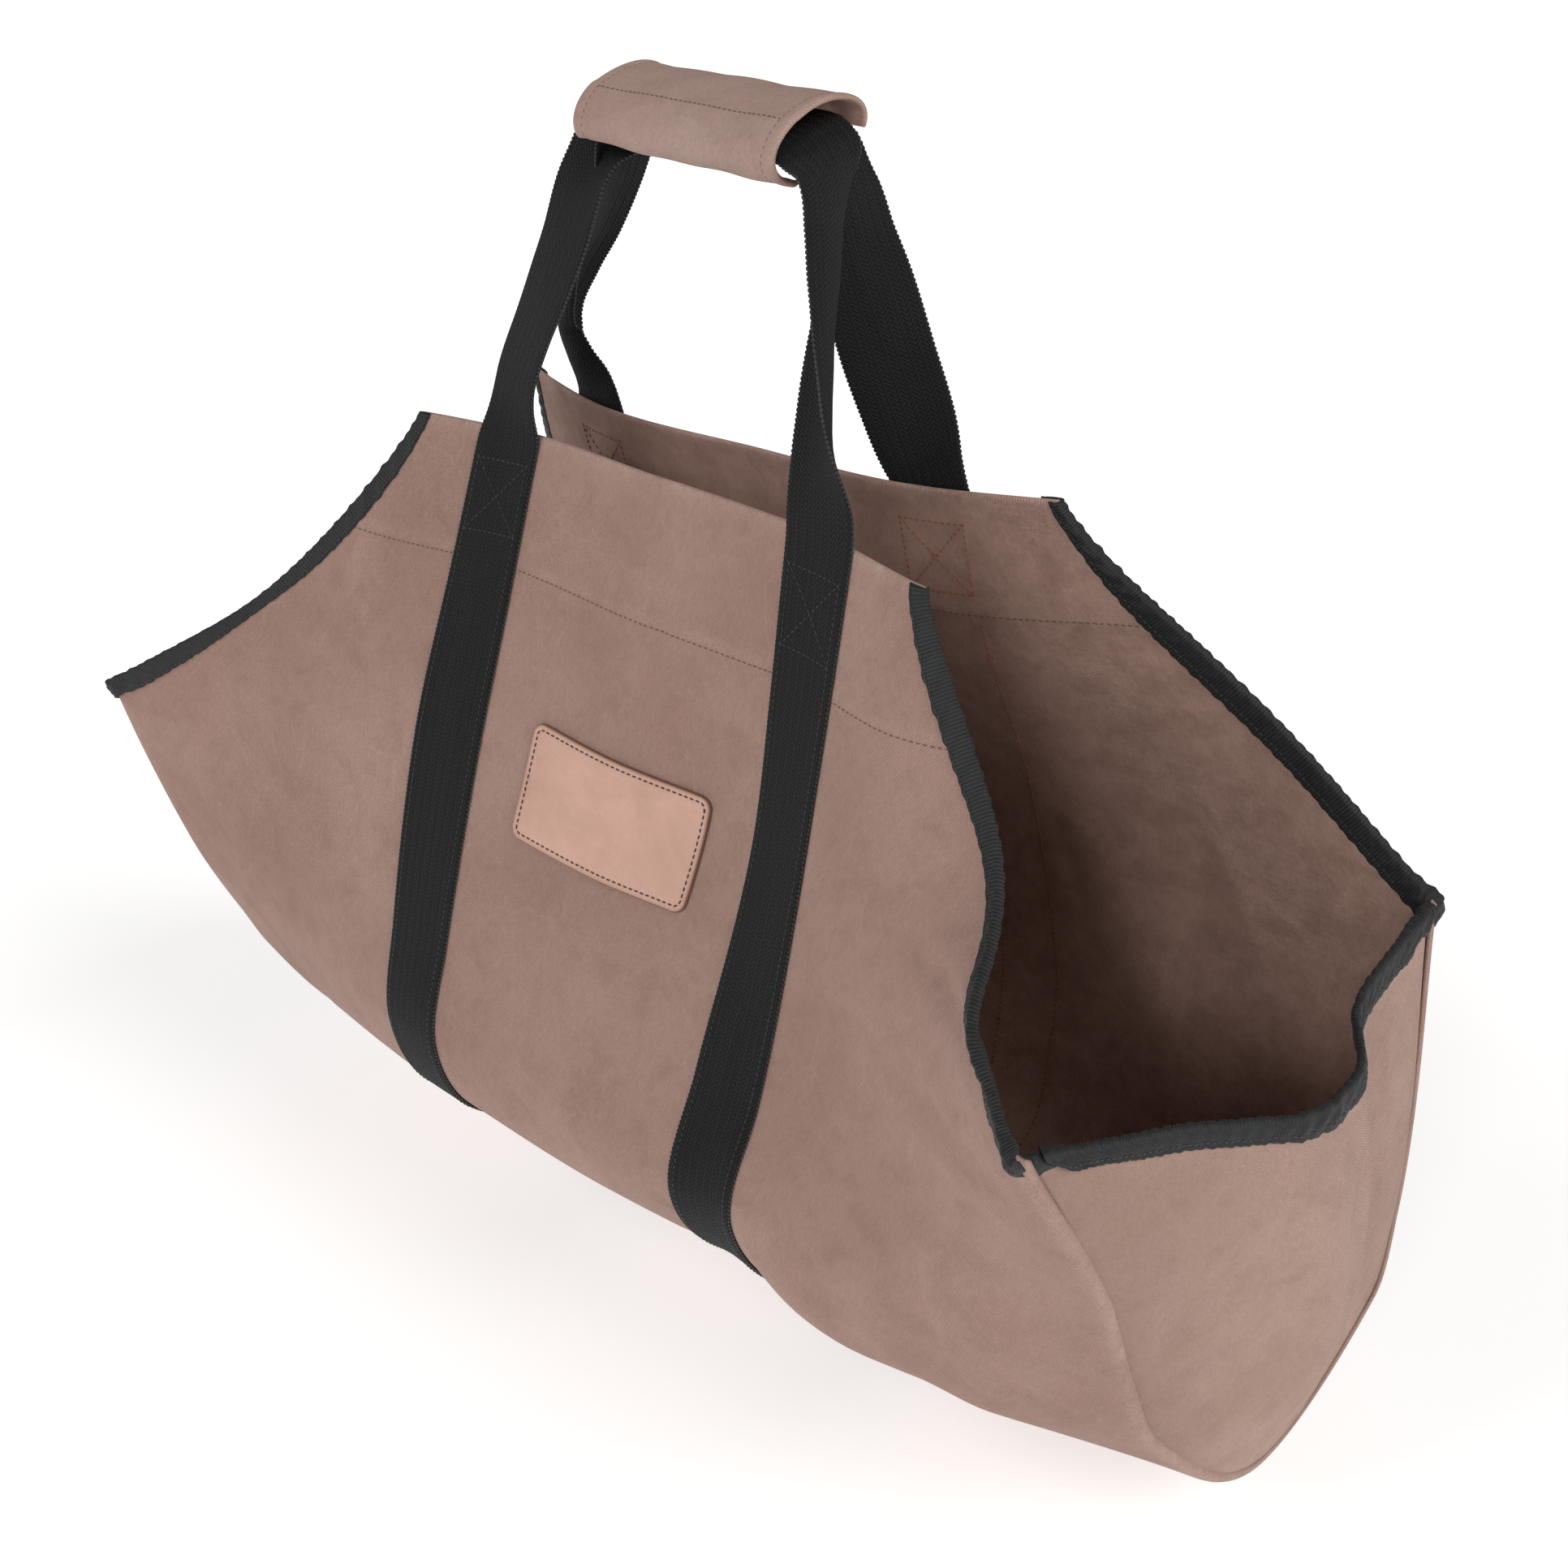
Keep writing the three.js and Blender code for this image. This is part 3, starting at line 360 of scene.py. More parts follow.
def calc(tree, operation, a, b=0.0, c=0.0, clamp=False):
    node = addNode(tree, "ShaderNodeMath", {0: a, 1: b, 2: c}, operation=operation, use_clamp=clamp)
    return node.outputs[0]


def weighted(tree, *parts):
    # sum of values, each times its weight
    total = None
    for value, weight in parts:
        term = calc(tree, "MULTIPLY", value, weight)
        total = term if total is None else calc(tree, "ADD", total, term)
    return total


def noiseOf(tree, vector, scale, detail=4.0, roughness=0.55, distortion=0.0):
    return addNode(tree, "ShaderNodeTexNoise", {
        "Vector": vector, "Scale": scale, "Detail": detail, "Roughness": roughness,
        "Distortion": distortion}).outputs[0]


def blend(tree, factor, a, b, mode="MIX"):
    node = addNode(tree, "ShaderNodeMix", data_type="RGBA", blend_type=mode)
    solid = lambda value: value if isinstance(value, bpy.types.NodeSocket) else (*value, 1.0)
    setInputs(tree, node, {0: factor, 6: solid(a), 7: solid(b)})
    return node.outputs[2]


def fade(tree, value, low, high, start=0.0, end=1.0):
    node = addNode(tree, "ShaderNodeMapRange", {
        "Value": value, "From Min": low, "From Max": high, "To Min": start, "To Max": end})
    return node.outputs[0]


def stretched(tree, vector, x, y, z=1.0, turn=0.0):
    return addNode(tree, "ShaderNodeMapping", {
        "Vector": vector, "Scale": (x, y, z), "Rotation": (0, 0, turn)}).outputs[0]


def addBump(tree, height, distance, strength=1.0, under=None):
    inputs = {"Height": height, "Distance": distance, "Strength": strength}
    if under is not None:
        inputs["Normal"] = under
    return addNode(tree, "ShaderNodeBump", inputs).outputs[0]


canvasFinish = {
    "warm": (0.300, 0.186, 0.150), "dusty": (0.345, 0.222, 0.184), "deep": (0.225, 0.136, 0.108),
    "rubbed": (0.47, 0.335, 0.285),
    # the inside colours are lighter than the outside ones: painted light, standing in for the light that
    # reaches into the carrier
    "insidePaintedLitWarm": (0.400, 0.252, 0.205), "insidePaintedLitDeep": (0.310, 0.190, 0.150),
    "twillPitch": 0.00125, "yarnPitch": 0.00062, "sheen": 0.10, "marks": 0.2, "markScale": 26.0,
}
# the end panels' canvas is coloured lighter than the sling's: painted light, for the light they catch from
# the side
endCanvasPaintedLitFinish = dict(canvasFinish, warm=(0.350, 0.225, 0.182), dusty=(0.400, 0.268, 0.222),
                       deep=(0.27, 0.170, 0.136))
gripCanvasFinish = dict(canvasFinish, warm=(0.355, 0.232, 0.194), dusty=(0.41, 0.285, 0.245),
                        deep=(0.275, 0.175, 0.145))


def canvasMaterial(name, look):
    material, tree, shader = newMaterial(name)
    cloth = addNode(tree, "ShaderNodeUVMap", uv_map="cloth").outputs[0]
    place3 = addNode(tree, "ShaderNodeTexCoord").outputs["Object"]
    parts = addNode(tree, "ShaderNodeSeparateXYZ", {0: cloth})
    across, along = parts.outputs[0], parts.outputs[1]
    wave = lambda value, pitch: calc(tree, "SINE", calc(tree, "MULTIPLY", value, 2 * math.pi / pitch))
    diagonal = calc(tree, "ADD", across, calc(tree, "MULTIPLY", along, 0.8))
    twill = wave(diagonal, look["twillPitch"])
    yarn = calc(tree, "MULTIPLY", wave(across, look["yarnPitch"]), wave(along, look["yarnPitch"]))
    slub = noiseOf(tree, stretched(tree, cloth, 900, 190), 1.0, 3.0, 0.6)
    weft = noiseOf(tree, stretched(tree, cloth, 170, 1100), 1.0, 3.0, 0.6)
    cloud = noiseOf(tree, place3, 11.0, 3.0, 0.5, 0.2)
    mottle = noiseOf(tree, place3, 62.0, 5.0, 0.65, 0.4)
    speck = noiseOf(tree, place3, 820.0, 3.0, 0.7)
    scuff = noiseOf(tree, stretched(tree, cloth, 55, 16, turn=0.35), 1.0, 6.0, 0.68, 0.8)
    outer = blend(tree, fade(tree, cloud, 0.36, 0.64), look["warm"], look["dusty"])
    outer = blend(tree, fade(tree, mottle, 0.48, 0.74, 0.0, 0.42), outer, look["deep"])
    outer = blend(tree, fade(tree, scuff, 0.60, 0.78, 0.0, 0.26), outer, look["rubbed"])
    # inner face colour, painted lighter than the outer face as painted light
    inner = blend(tree, fade(tree, mottle, 0.38, 0.66), look["insidePaintedLitWarm"], look["insidePaintedLitDeep"])
    side = addNode(tree, "ShaderNodeAttribute", attribute_name="inside").outputs["Fac"]
    colour = blend(tree, fade(tree, side, 0.45, 0.75), outer, inner)
    worn = addNode(tree, "ShaderNodeAttribute", attribute_name="wear").outputs["Fac"]
    worn = calc(tree, "MULTIPLY", worn, fade(tree, calc(tree, "ADD", scuff, calc(
        tree, "MULTIPLY", speck, 0.5)), 0.55, 0.95))
    colour = blend(tree, worn, colour, look["rubbed"])
    # thin pale crease marks
    warp = addNode(tree, "ShaderNodeTexNoise", {
        "Vector": place3, "Scale": 18.0, "Detail": 4.0}).outputs[1]
    warp = addNode(tree, "ShaderNodeVectorMath", {0: warp}, operation="SCALE")
    warp.inputs["Scale"].default_value = 0.03
    bent = addNode(tree, "ShaderNodeVectorMath", {
        0: place3, 1: warp.outputs[0]}, operation="ADD").outputs[0]
    marks = addNode(tree, "ShaderNodeTexVoronoi", {
        "Vector": bent, "Scale": look["markScale"]}, feature="DISTANCE_TO_EDGE").outputs[0]
    marks = calc(tree, "MULTIPLY", fade(tree, marks, 0.0, 0.022, 1.0, 0.0), fade(
        tree, noiseOf(tree, place3, 30.0, 3.0), 0.5, 0.66, 0.0, look["marks"]))
    colour = blend(tree, marks, colour, look["rubbed"])
    thread = weighted(tree, (twill, 0.45), (slub, 1.2), (speck, 1.6))
    shade = fade(tree, thread, 0.2, 2.4, 0.70, 1.28)
    colour = blend(tree, 1.0, colour, addNode(tree, "ShaderNodeCombineColor", {
        0: shade, 1: shade, 2: shade}).outputs[0], "MULTIPLY")
    setInputs(tree, shader, {
        "Base Color": colour, "Roughness": fade(tree, mottle, 0.3, 0.8, 0.78, 0.93),
        "Sheen Weight": look["sheen"], "Sheen Roughness": 0.5, "Sheen Tint": (0.85, 0.72, 0.66, 1),
        "Specular IOR Level": 0.25})
    fine = weighted(tree, (twill, 0.45), (yarn, 0.3), (calc(tree, "ADD", slub, weft), 0.9), (speck, 0.8))
    crumple = noiseOf(tree, place3, 38.0, 4.0, 0.58, 0.7)
    creases = noiseOf(tree, place3, 15.0, 3.0, 0.5, 1.4)
    soft = addBump(tree, crumple, 0.0022, 0.5)
    soft = addBump(tree, creases, 0.0075, 0.4, soft)
    tree.links.new(addBump(tree, fine, 0.00018, 0.85, soft), shader.inputs["Normal"])
    return material


webFinish = {"base": (0.0075, 0.0078, 0.0082), "raised": (0.0225, 0.0232, 0.0242), "ribPitch": 0.0021,
             "columnPitch": 0.0048}


def webbingMaterial(name, look):
    material, tree, shader = newMaterial(name)
    cloth = addNode(tree, "ShaderNodeUVMap", uv_map="cloth").outputs[0]
    parts = addNode(tree, "ShaderNodeSeparateXYZ", {0: cloth})
    across, along = parts.outputs[0], parts.outputs[1]
    zig = calc(tree, "PINGPONG", across, look["columnPitch"] / 2)
    rib = calc(tree, "SINE", calc(tree, "MULTIPLY", calc(
        tree, "ADD", along, calc(tree, "MULTIPLY", zig, 1.1)), 2 * math.pi / look["ribPitch"]))
    column = calc(tree, "SINE", calc(tree, "MULTIPLY", across, 4 * math.pi / look["columnPitch"]))
    fuzz = noiseOf(tree, stretched(tree, cloth, 1500, 900), 1.0, 3.0, 0.65)
    height = weighted(tree, (rib, 0.5), (column, 0.18), (fuzz, 0.7))
    wear = noiseOf(tree, stretched(tree, cloth, 60, 12), 1.0, 4.0, 0.6)
    tone = calc(tree, "MULTIPLY", fade(tree, height, 0.0, 1.1), fade(tree, wear, 0.35, 0.7, 0.6, 1.0))
    setInputs(tree, shader, {
        "Base Color": blend(tree, tone, look["base"], look["raised"]),
        "Roughness": fade(tree, fuzz, 0.3, 0.7, 0.68, 0.88), "Sheen Weight": 0.03,
        "Sheen Roughness": 0.5, "Specular IOR Level": 0.16,
        "Normal": addBump(tree, height, 0.00045, 0.9)})
    return material


tapeFinish = {"base": (0.011, 0.0116, 0.0121), "raised": (0.034, 0.0357, 0.0374), "ribPitch": 0.00135}


def tapeMaterial(name, look):
    material, tree, shader = newMaterial(name)
    cloth = addNode(tree, "ShaderNodeUVMap", uv_map="cloth").outputs[0]
    parts = addNode(tree, "ShaderNodeSeparateXYZ", {0: cloth})
    rib = calc(tree, "SINE", calc(tree, "MULTIPLY", parts.outputs[1], 2 * math.pi / look["ribPitch"]))
    fuzz = noiseOf(tree, stretched(tree, cloth, 1400, 1400), 1.0, 3.0, 0.6)
    height = weighted(tree, (rib, 0.5), (fuzz, 0.5))
    wear = noiseOf(tree, stretched(tree, cloth, 40, 25), 1.0, 4.0, 0.6)
    tone = calc(tree, "MULTIPLY", fade(tree, height, -0.2, 0.8), fade(tree, wear, 0.35, 0.7, 0.5, 1.0))
    ripple = noiseOf(tree, stretched(tree, cloth, 60, 130, turn=0.5), 1.0, 3.0, 0.5, 0.6)
    soft = addBump(tree, ripple, 0.0016, 0.8)
    setInputs(tree, shader, {
        "Base Color": blend(tree, tone, look["base"], look["raised"]), "Roughness": 0.62,
        "Sheen Weight": 0.05, "Sheen Roughness": 0.4, "Specular IOR Level": 0.28,
        "Normal": addBump(tree, height, 0.00022, 0.9, soft)})
    return material


leatherFinish = {"light": (0.57, 0.345, 0.270), "dark": (0.45, 0.260, 0.200), "edge": (0.20, 0.095, 0.06),
                 "poreScale": 900.0}


def leatherMaterial(name, look):
    material, tree, shader = newMaterial(name)
    place3 = addNode(tree, "ShaderNodeTexCoord").outputs["Object"]
    rim = addNode(tree, "ShaderNodeAttribute", attribute_name="inside").outputs["Fac"]
    patina = noiseOf(tree, place3, 22.0, 5.0, 0.6, 0.5)
    speck = noiseOf(tree, place3, 260.0, 4.0, 0.7)
    colour = blend(tree, fade(tree, patina, 0.35, 0.68), look["light"], look["dark"])
    colour = blend(tree, fade(tree, speck, 0.55, 0.75, 0.0, 0.35), colour, look["dark"])
    colour = blend(tree, fade(tree, rim, 0.05, 0.8), colour, look["edge"])
    tree.links.new(colour, shader.inputs["Base Color"])
    pores = addNode(tree, "ShaderNodeTexVoronoi", {
        "Vector": place3, "Scale": look["poreScale"]}, feature="SMOOTH_F1").outputs[0]
    wrinkle = noiseOf(tree, place3, 120.0, 5.0, 0.6, 1.2)
    tree.links.new(fade(tree, speck, 0.3, 0.7, 0.42, 0.6), shader.inputs["Roughness"])
    shader.inputs["Specular IOR Level"].default_value = 0.45
    soft = addBump(tree, wrinkle, 0.0006, 0.5)
    tree.links.new(addBump(tree, pores, 0.00012, 0.6, soft), shader.inputs["Normal"])
    return material


def threadMaterial(name, colour, roughness=0.6):
    material, tree, shader = newMaterial(name)
    place3 = addNode(tree, "ShaderNodeTexCoord").outputs["Object"]
    twist = noiseOf(tree, place3, 2600.0, 2.0, 0.5)
    darker = tuple(0.62 * c for c in colour)
    tree.links.new(blend(tree, fade(tree, twist, 0.35, 0.65), darker, colour), shader.inputs["Base Color"])
    shader.inputs["Roughness"].default_value = roughness
    shader.inputs["Sheen Weight"].default_value = 0.2
    tree.links.new(addBump(tree, twist, 0.0001, 0.6), shader.inputs["Normal"])
    return material


canvasLook = canvasMaterial("waxedCanvas", canvasFinish)
# the end panels' material carries the lighter, painted-light colours
endCanvasPaintedLitLook = canvasMaterial("waxedCanvasEndsPaintedLit", endCanvasPaintedLitFinish)
gripCanvasLook = canvasMaterial("waxedCanvasGrip", gripCanvasFinish)
webLook = webbingMaterial("heavyWebbing", webFinish)
tapeLook = tapeMaterial("ribbedTape", tapeFinish)
leatherLook = leatherMaterial("tanLeather", leatherFinish)
threadLooks = {
    "canvasThread": threadMaterial("brownThread", (0.160, 0.088, 0.068)),
    "blackThread": threadMaterial("blackThread", (0.009, 0.009, 0.0095)),
    "rustThread": threadMaterial("rustThread", (0.34, 0.105, 0.05)),
    "tapeThread": threadMaterial("charcoalThread", (0.022, 0.022, 0.024)),
    "patchThread": threadMaterial("darkBrownThread", (0.050, 0.019, 0.013)),
}
print("materials ready:", len(bpy.data.materials))

# the sling
sling = {
    "cell": 4.0, "rollRadius": 3.0, "rollTurn": 125, "rollPast": 7, "rollRamp": 6,
    "seamWear": 0.55, "lipWear": 0.5, "hemWear": 0.22, "seamReach": 4.5, "lipReach": 3.5, "hemReach": 2.5,
}


def slingColumns(girth):
    # x of every column at each girth: fixed between and under the bands, stretched beside them
    bandOut = (webbing["spacing"] + webbing["width"]) / 2
    cells = round(bandOut / sling["cell"])
    inner = np.linspace(0, bandOut, cells + 1)
    shares = np.linspace(0, 1, round((halfLength - bandOut) / sling["cell"]) + 1)[1:]
    edgeShares = 1 - np.array([6.6, 5.5, 4.4, 3.3, 2.2, 1.1, 0]) / (halfLength - bandOut)
    shares = np.concatenate([shares[shares < edgeShares[0] - 0.004], edgeShares])
    half = cutHalfLength(girth)
    outer = bandOut + (half[None, :] - bandOut) * shares[:, None]
    right = np.concatenate([np.repeat(inner[:, None], len(girth), 1), outer], 0)
    return np.concatenate([-right[:0:-1], right], 0)


def slingMesh():
    lowHem = halfGirth - carrier["frontHem"] - 6
    rows = np.concatenate([
        np.linspace(0, lowHem - 3.6, round(lowHem / sling["cell"])), np.linspace(lowHem, lowHem + 26, 14),
        np.linspace(lowHem + 30, halfGirth, 11)])
    girth = np.concatenate([-rows[:0:-1], rows])
    x = slingColumns(girth)
    g = np.repeat(girth[None, :], len(x), 0)
    # the ends roll inwards into the seam with the end panels
    radius, half = sling["rollRadius"], carrier["canvas"] / 2
    rollLength = radius * math.radians(sling["rollTurn"])
    into = np.clip(np.abs(x) - (halfLength - rollLength), 0, None)
    into = into * np.clip((cornerGirth + sling["rollPast"] - np.abs(g)) / sling["rollRamp"], 0, 1)
    angle = into / radius
    flatX = x - np.sign(x) * into
    hem = carrier["hemExtra"] * np.clip((np.abs(g) - hemLine(x, g) + 5) / 3, 0, 1)
    turned = lambda depth: (flatX + np.sign(x) * (radius + depth) * np.sin(angle),
                            (radius + depth) * np.cos(angle) - radius)
    outerX, outerLift = turned(half)
    innerX, innerLift = turned(-half)
    faceA = offCloth(outerX, g, outerLift)
    faceB = offCloth(innerX, g, innerLift - hem)
    rollAngles = np.radians([30, 60, 90, 120, 150])
    radiusLip = half + carrier["hemExtra"] / 2
    middle = -carrier["hemExtra"] / 2

    def lipRoll(column, sign, angles):
        reach = sign * (halfGirth + radiusLip * np.sin(angles))[None, :]
        lift = middle + radiusLip * np.cos(angles)[None, :]
        return offCloth(x[:, column][:, None], np.repeat(reach, len(x), 0), np.repeat(lift, len(x), 0))

    rolls = lipRoll(-1, 1, rollAngles), lipRoll(0, -1, rollAngles[::-1])
    piece = finishLoft("canvasSling", faceA, faceB, rolls, x, g, canvasLook)
    edge = len(rollAngles)
    toSeam = halfLength - rollLength / 2 - np.abs(x)
    seam = np.exp(-(toSeam / sling["seamReach"]) ** 2) * (np.abs(g) < cornerGirth)
    lip = np.exp(-((halfGirth - np.abs(g)) / sling["lipReach"]) ** 2)
    hemRidge = np.exp(-((np.abs(g) - hemLine(x, g) - 3) / sling["hemReach"]) ** 2)
    wear = sling["seamWear"] * seam + sling["lipWear"] * lip + sling["hemWear"] * hemRidge
    wear = np.clip(wear, 0, 1)
    lipWear = np.full((len(x), edge), sling["lipWear"])
    setPointValues(piece.data, "wear", np.concatenate([wear, lipWear, 0.4 * wear[:, ::-1], lipWear], 1))
    inner = np.where(np.abs(x) > halfLength - rollLength, 0.0, 1.0)
    rim = np.full((len(x), edge), edgeTone)
    setPointValues(piece.data, "inside", np.concatenate([0 * inner, rim, inner[:, ::-1], rim], 1))
    return piece


slingPiece = ownPiece(slingMesh(), "canvas_brown", "canvas_sling")

# the end panels
endPanel = {
    "inset": 5, "thickness": 2, "sag": 34, "bulge": 30, "swell": 0.5, "kneeShare": 5 / 12,
    "across": 84, "down": 66, "tuck": 2.6, "tuckWidth": 3.6, "gap": 0.3,
    "topLength": 285, "flatAcross": 280, "flatDown": 240, "tapeDown": 235,
}
# top edge: across, sag, bulge
panelEdge = [
    (0.00, 0.00, 0.00), (0.15, 0.32, 0.12), (0.30, 0.58, 0.34), (0.45, 0.86, 0.72),
    (0.58, 1.00, 1.00), (0.66, 0.90, 0.86), (0.73, 0.50, 0.38), (0.84, 0.26, 0.16), (1.00, 0.00, 0.00),
]
# folds of an end panel: across, down, reach, drop, lean, push
panelFolds = [
    (0.50, 0.10, 0.035, 0.30, 0.10, 2.6), (0.62, 0.12, 0.03, 0.34, 0.06, -2.4),
    (0.69, 0.10, 0.028, 0.28, 0.02, 2.2), (0.28, 0.25, 0.05, 0.35, 0.25, 1.2),
    (0.42, 0.55, 0.06, 0.22, -0.20, -1.3), (0.80, 0.45, 0.04, 0.30, -0.15, 1.2),
    (0.55, 0.75, 0.09, 0.10, 0.0, 1.4),
]
kneeGirth = endPanel["kneeShare"] * cornerGirth
panelTopGirth = cornerGirth - 1.7


def panelPoint(side, lift, u, v):
    u, v, lift = np.broadcast_arrays(np.asarray(u, float), np.asarray(v, float), np.asarray(lift, float))
    shape = u.shape
    u, v, lift = u.ravel(), v.ravel(), lift.ravel()
    drop = -carrier["canvas"] / 2 - endPanel["gap"]
    seamX = side * (halfLength - endPanel["inset"] + lift)
    seam = lambda girth: offCloth(seamX, girth * np.ones_like(u), drop)
    frontCorner, backCorner = seam(-panelTopGirth), seam(panelTopGirth)
    edgeKnots = [r[0] for r in panelEdge]
    top = frontCorner + (backCorner - frontCorner) * u[:, None]
    top[:, 2] -= endPanel["sag"] * smoothAt(edgeKnots, [r[1] for r in panelEdge], u)
    top[:, 0] += side * endPanel["bulge"] * smoothAt(edgeKnots, [r[2] for r in panelEdge], u)
    sideGirth = panelTopGirth + (kneeGirth - panelTopGirth) * v
    U, V = u[:, None], v[:, None]
    point = top * (1 - V) + seam(kneeGirth * (2 * u - 1)) * V
    point += seam(-sideGirth) * (1 - U) + seam(sideGirth) * U
    point -= frontCorner * (1 - U) * (1 - V) + backCorner * U * (1 - V)
    point -= seam(-kneeGirth) * (1 - U) * V + seam(kneeGirth) * U * V
    swell = endPanel["bulge"] * endPanel["swell"]
    point[:, 0] += side * swell * np.sin(math.pi * u) * np.sin(math.pi * v)
    for across, down, reach, fall, lean, push in panelFolds:
        a = (u - across - lean * (v - down)) / reach
        b = (v - down) / fall
        point[:, 0] += side * push * np.exp(-a * a - b * b)
    edge = np.minimum(
        np.minimum(u, 1 - u) * endPanel["flatAcross"], (1 - v) * endPanel["flatDown"])
    point[:, 0] -= side * endPanel["tuck"] * np.exp(-(edge / endPanel["tuckWidth"]) ** 2)
    return point.reshape(shape + (3,))


def panelMesh(name, side):
    u = np.linspace(0, 1, endPanel["across"] + 1)[:, None]
    v = np.linspace(0, 1, endPanel["down"] + 1)[None, :]
    half = endPanel["thickness"] / 2
    faceA = panelPoint(side, half, u, v)
    faceB = panelPoint(side, -half, u, v)
    middle = (faceA + faceB) / 2
    upper = middle[:, :1] + [0, 0, 0.5]
    lower = middle[:, -1:] - [0, 0, 0.3]
    flatU = np.repeat(endPanel["flatAcross"] * u, len(v[0]), 1) + 900
    flatV = np.repeat(-endPanel["flatDown"] * v, len(u), 0)
    return finishLoft(name, faceA, faceB, (lower, upper), flatU, flatV, endCanvasPaintedLitLook)


for panelName, side in (("Left", -1), ("Right", 1)):
    node = "end_panel_" + panelName.lower()
    panel = ownPiece(panelMesh("endPanel" + panelName, side), "canvas_brown", node)
print("end panels made")

# edge tape
tape = {
    "outerReach": 8.5, "innerReach": 10.5, "thickness": 0.9, "stand": 0.55, "step": 1.3,
    "pucker": 1.1, "wave": 0.95, "stitchIn": 7.4, "stitchSink": 0.28, "cornerOver": 3.0, "lap": 1.0,
    "edgeRound": 0.4, "backExtra": 0.4, "threadOut": 0.62,
}


def tapeCentre(outer, inner, outerReach):
    # reach in from the edge and lift off the middle of the cloth, round the edge
    radius = (outer + inner) / 2 + tape["stand"]
    middle = (outer - inner) / 2
    angle = np.radians(np.linspace(0, 180, 11))[1:-1]
    shares = np.array([1.0, 0.94, 0.86, 0.74, 0.62, 0.50, 0.38, 0.25, 0.12, 0.0])
    path = [(r * outerReach, outer + tape["stand"]) for r in shares]
    path += [(-0.9 * radius * math.sin(a), middle + radius * math.cos(a)) for a in angle]
    path += [(r * tape["innerReach"], -inner - tape["stand"]) for r in shares[::-1]]
    return np.array(path)


def tapeFaces(outer, inner, outerReach):
    centre = tapeCentre(outer, inner, outerReach)
    ahead = np.gradient(centre, axis=0)
    normal = np.stack([ahead[:, 1], -ahead[:, 0]], 1)
    normal /= np.linalg.norm(normal, axis=1)[:, None]
    out = normal * tape["thickness"] / 2
    return centre + out, centre - out, centre


# gathers of the tape: slanting creases and smaller ones between them, in mm
gathers = {
    "slant": 0.75, "creasePitch": 10.5, "smallPitch": 5.3, "least": 0.35, "swing": 19,
    "smallSwell": 0.2, "smallWave": 0.35, "creaseWave": 0.55, "rimWave": 0.4, "stitchWidth": 0.9,
}


def puckered(path, along):
    # a gathered tape: slanting creases, a wandering free edge and a sunk line of stitches
    reach = path[None, :, 0] * np.ones((len(along), 1))
    lift = path[None, :, 1] * np.ones((len(along), 1))
    s = along[:, None]
    side = np.sign(lift)
    free = np.clip(reach / tape["innerReach"], 0, 1)
    slant = gathers["slant"] * side * reach
    gather = 0.5 + 0.5 * np.sin(s / gathers["swing"] + 2.2 * np.sin(s / 41 + 0.7))
    gather = gathers["least"] + (1 - gathers["least"]) * gather
    crease = np.sin((s + slant) * 2 * math.pi / gathers["creasePitch"] + 1.9 * np.sin(s / 22))
    small = np.sin((s - slant) * 2 * math.pi / gathers["smallPitch"] + 2.4 * np.sin(s / 13 + 1))
    belly = np.sin(np.clip(free * 1.15, 0, 1) * math.pi)
    sunk = tape["stitchSink"] * np.exp(-((reach - tape["stitchIn"]) / gathers["stitchWidth"]) ** 2)
    swell = tape["pucker"] * gather * (0.5 + 0.5 * crease) * belly
    lift = lift + side * (swell + gathers["smallSwell"] * small * (1 - free) - sunk)
    wander = tape["wave"] * (gathers["creaseWave"] * crease * gather + gathers["smallWave"] * small)
    rim = (1 - free) * gathers["rimWave"] * (crease * gather + 0.6 * small)
    return reach + free * wander - rim, lift


def scoopStations():
    girth = np.linspace(cornerGirth - tape["cornerOver"], halfGirth + 1.2, 1200)
    x = cutHalfLength(np.minimum(girth, halfGirth))
    length = np.concatenate([[0], np.cumsum(np.hypot(np.diff(x), np.diff(girth)))])
    count = round(length[-1] / tape["step"])
    along = np.linspace(0, length[-1], count + 1)
    girth, x = np.interp(along, length, girth), np.interp(along, length, x)
    run = np.stack([np.gradient(x), np.gradient(girth)], 1)
    run /= np.linalg.norm(run, axis=1)[:, None]
    for _ in range(6):
        run[1:-1] = (run[:-2] + run[1:-1] + run[2:]) / 3
    return along, x, girth, np.stack([-run[:, 1], run[:, 0]], 1)


scoopAlong, scoopX, scoopG, scoopInward = scoopStations()


def scoopNarrow(along, front, lift):
    # the tape shows less of itself half way up the front, and inside by the back's lip
    s = along[:, None]
    toLip = scoopAlong[-1] - s
    if front:
        return 1 - 0.30 * np.exp(-((s - 95) / 34) ** 2) - 0.25 * np.exp(-(toLip / 22) ** 2)
    return 1 - np.where(lift < 0, 0.62, 0.0) * np.exp(-(toLip / 48) ** 2)


def tapePhase(front, side):
    return (7 if front else 0) + (3 if side > 0 else 0)


def scoopTapePoints(front, side, path, first=0):
    sign = -1 if front else 1
    reach, lift = puckered(path, scoopAlong[first:] + tapePhase(front, side))
    reach = reach * scoopNarrow(scoopAlong[first:], front, lift)
    x = scoopX[first:, None] + scoopInward[first:, :1] * reach
    girth = scoopG[first:, None] + scoopInward[first:, 1:] * reach
    return offCloth(side * np.minimum(x, halfLength + 3), sign * girth, lift)


# how the scoop's tape turns round a corner, in mm
corner = {"onPanel": (27, 20, 14, 9, 4), "turnIn": 4, "turnUp": 1.5, "narrow": 0.25, "bulge": 0.9,
          "bulgeLength": 8, "clear": 15}


def unit(vectors):
    return vectors / np.linalg.norm(vectors, axis=-1)[..., None]


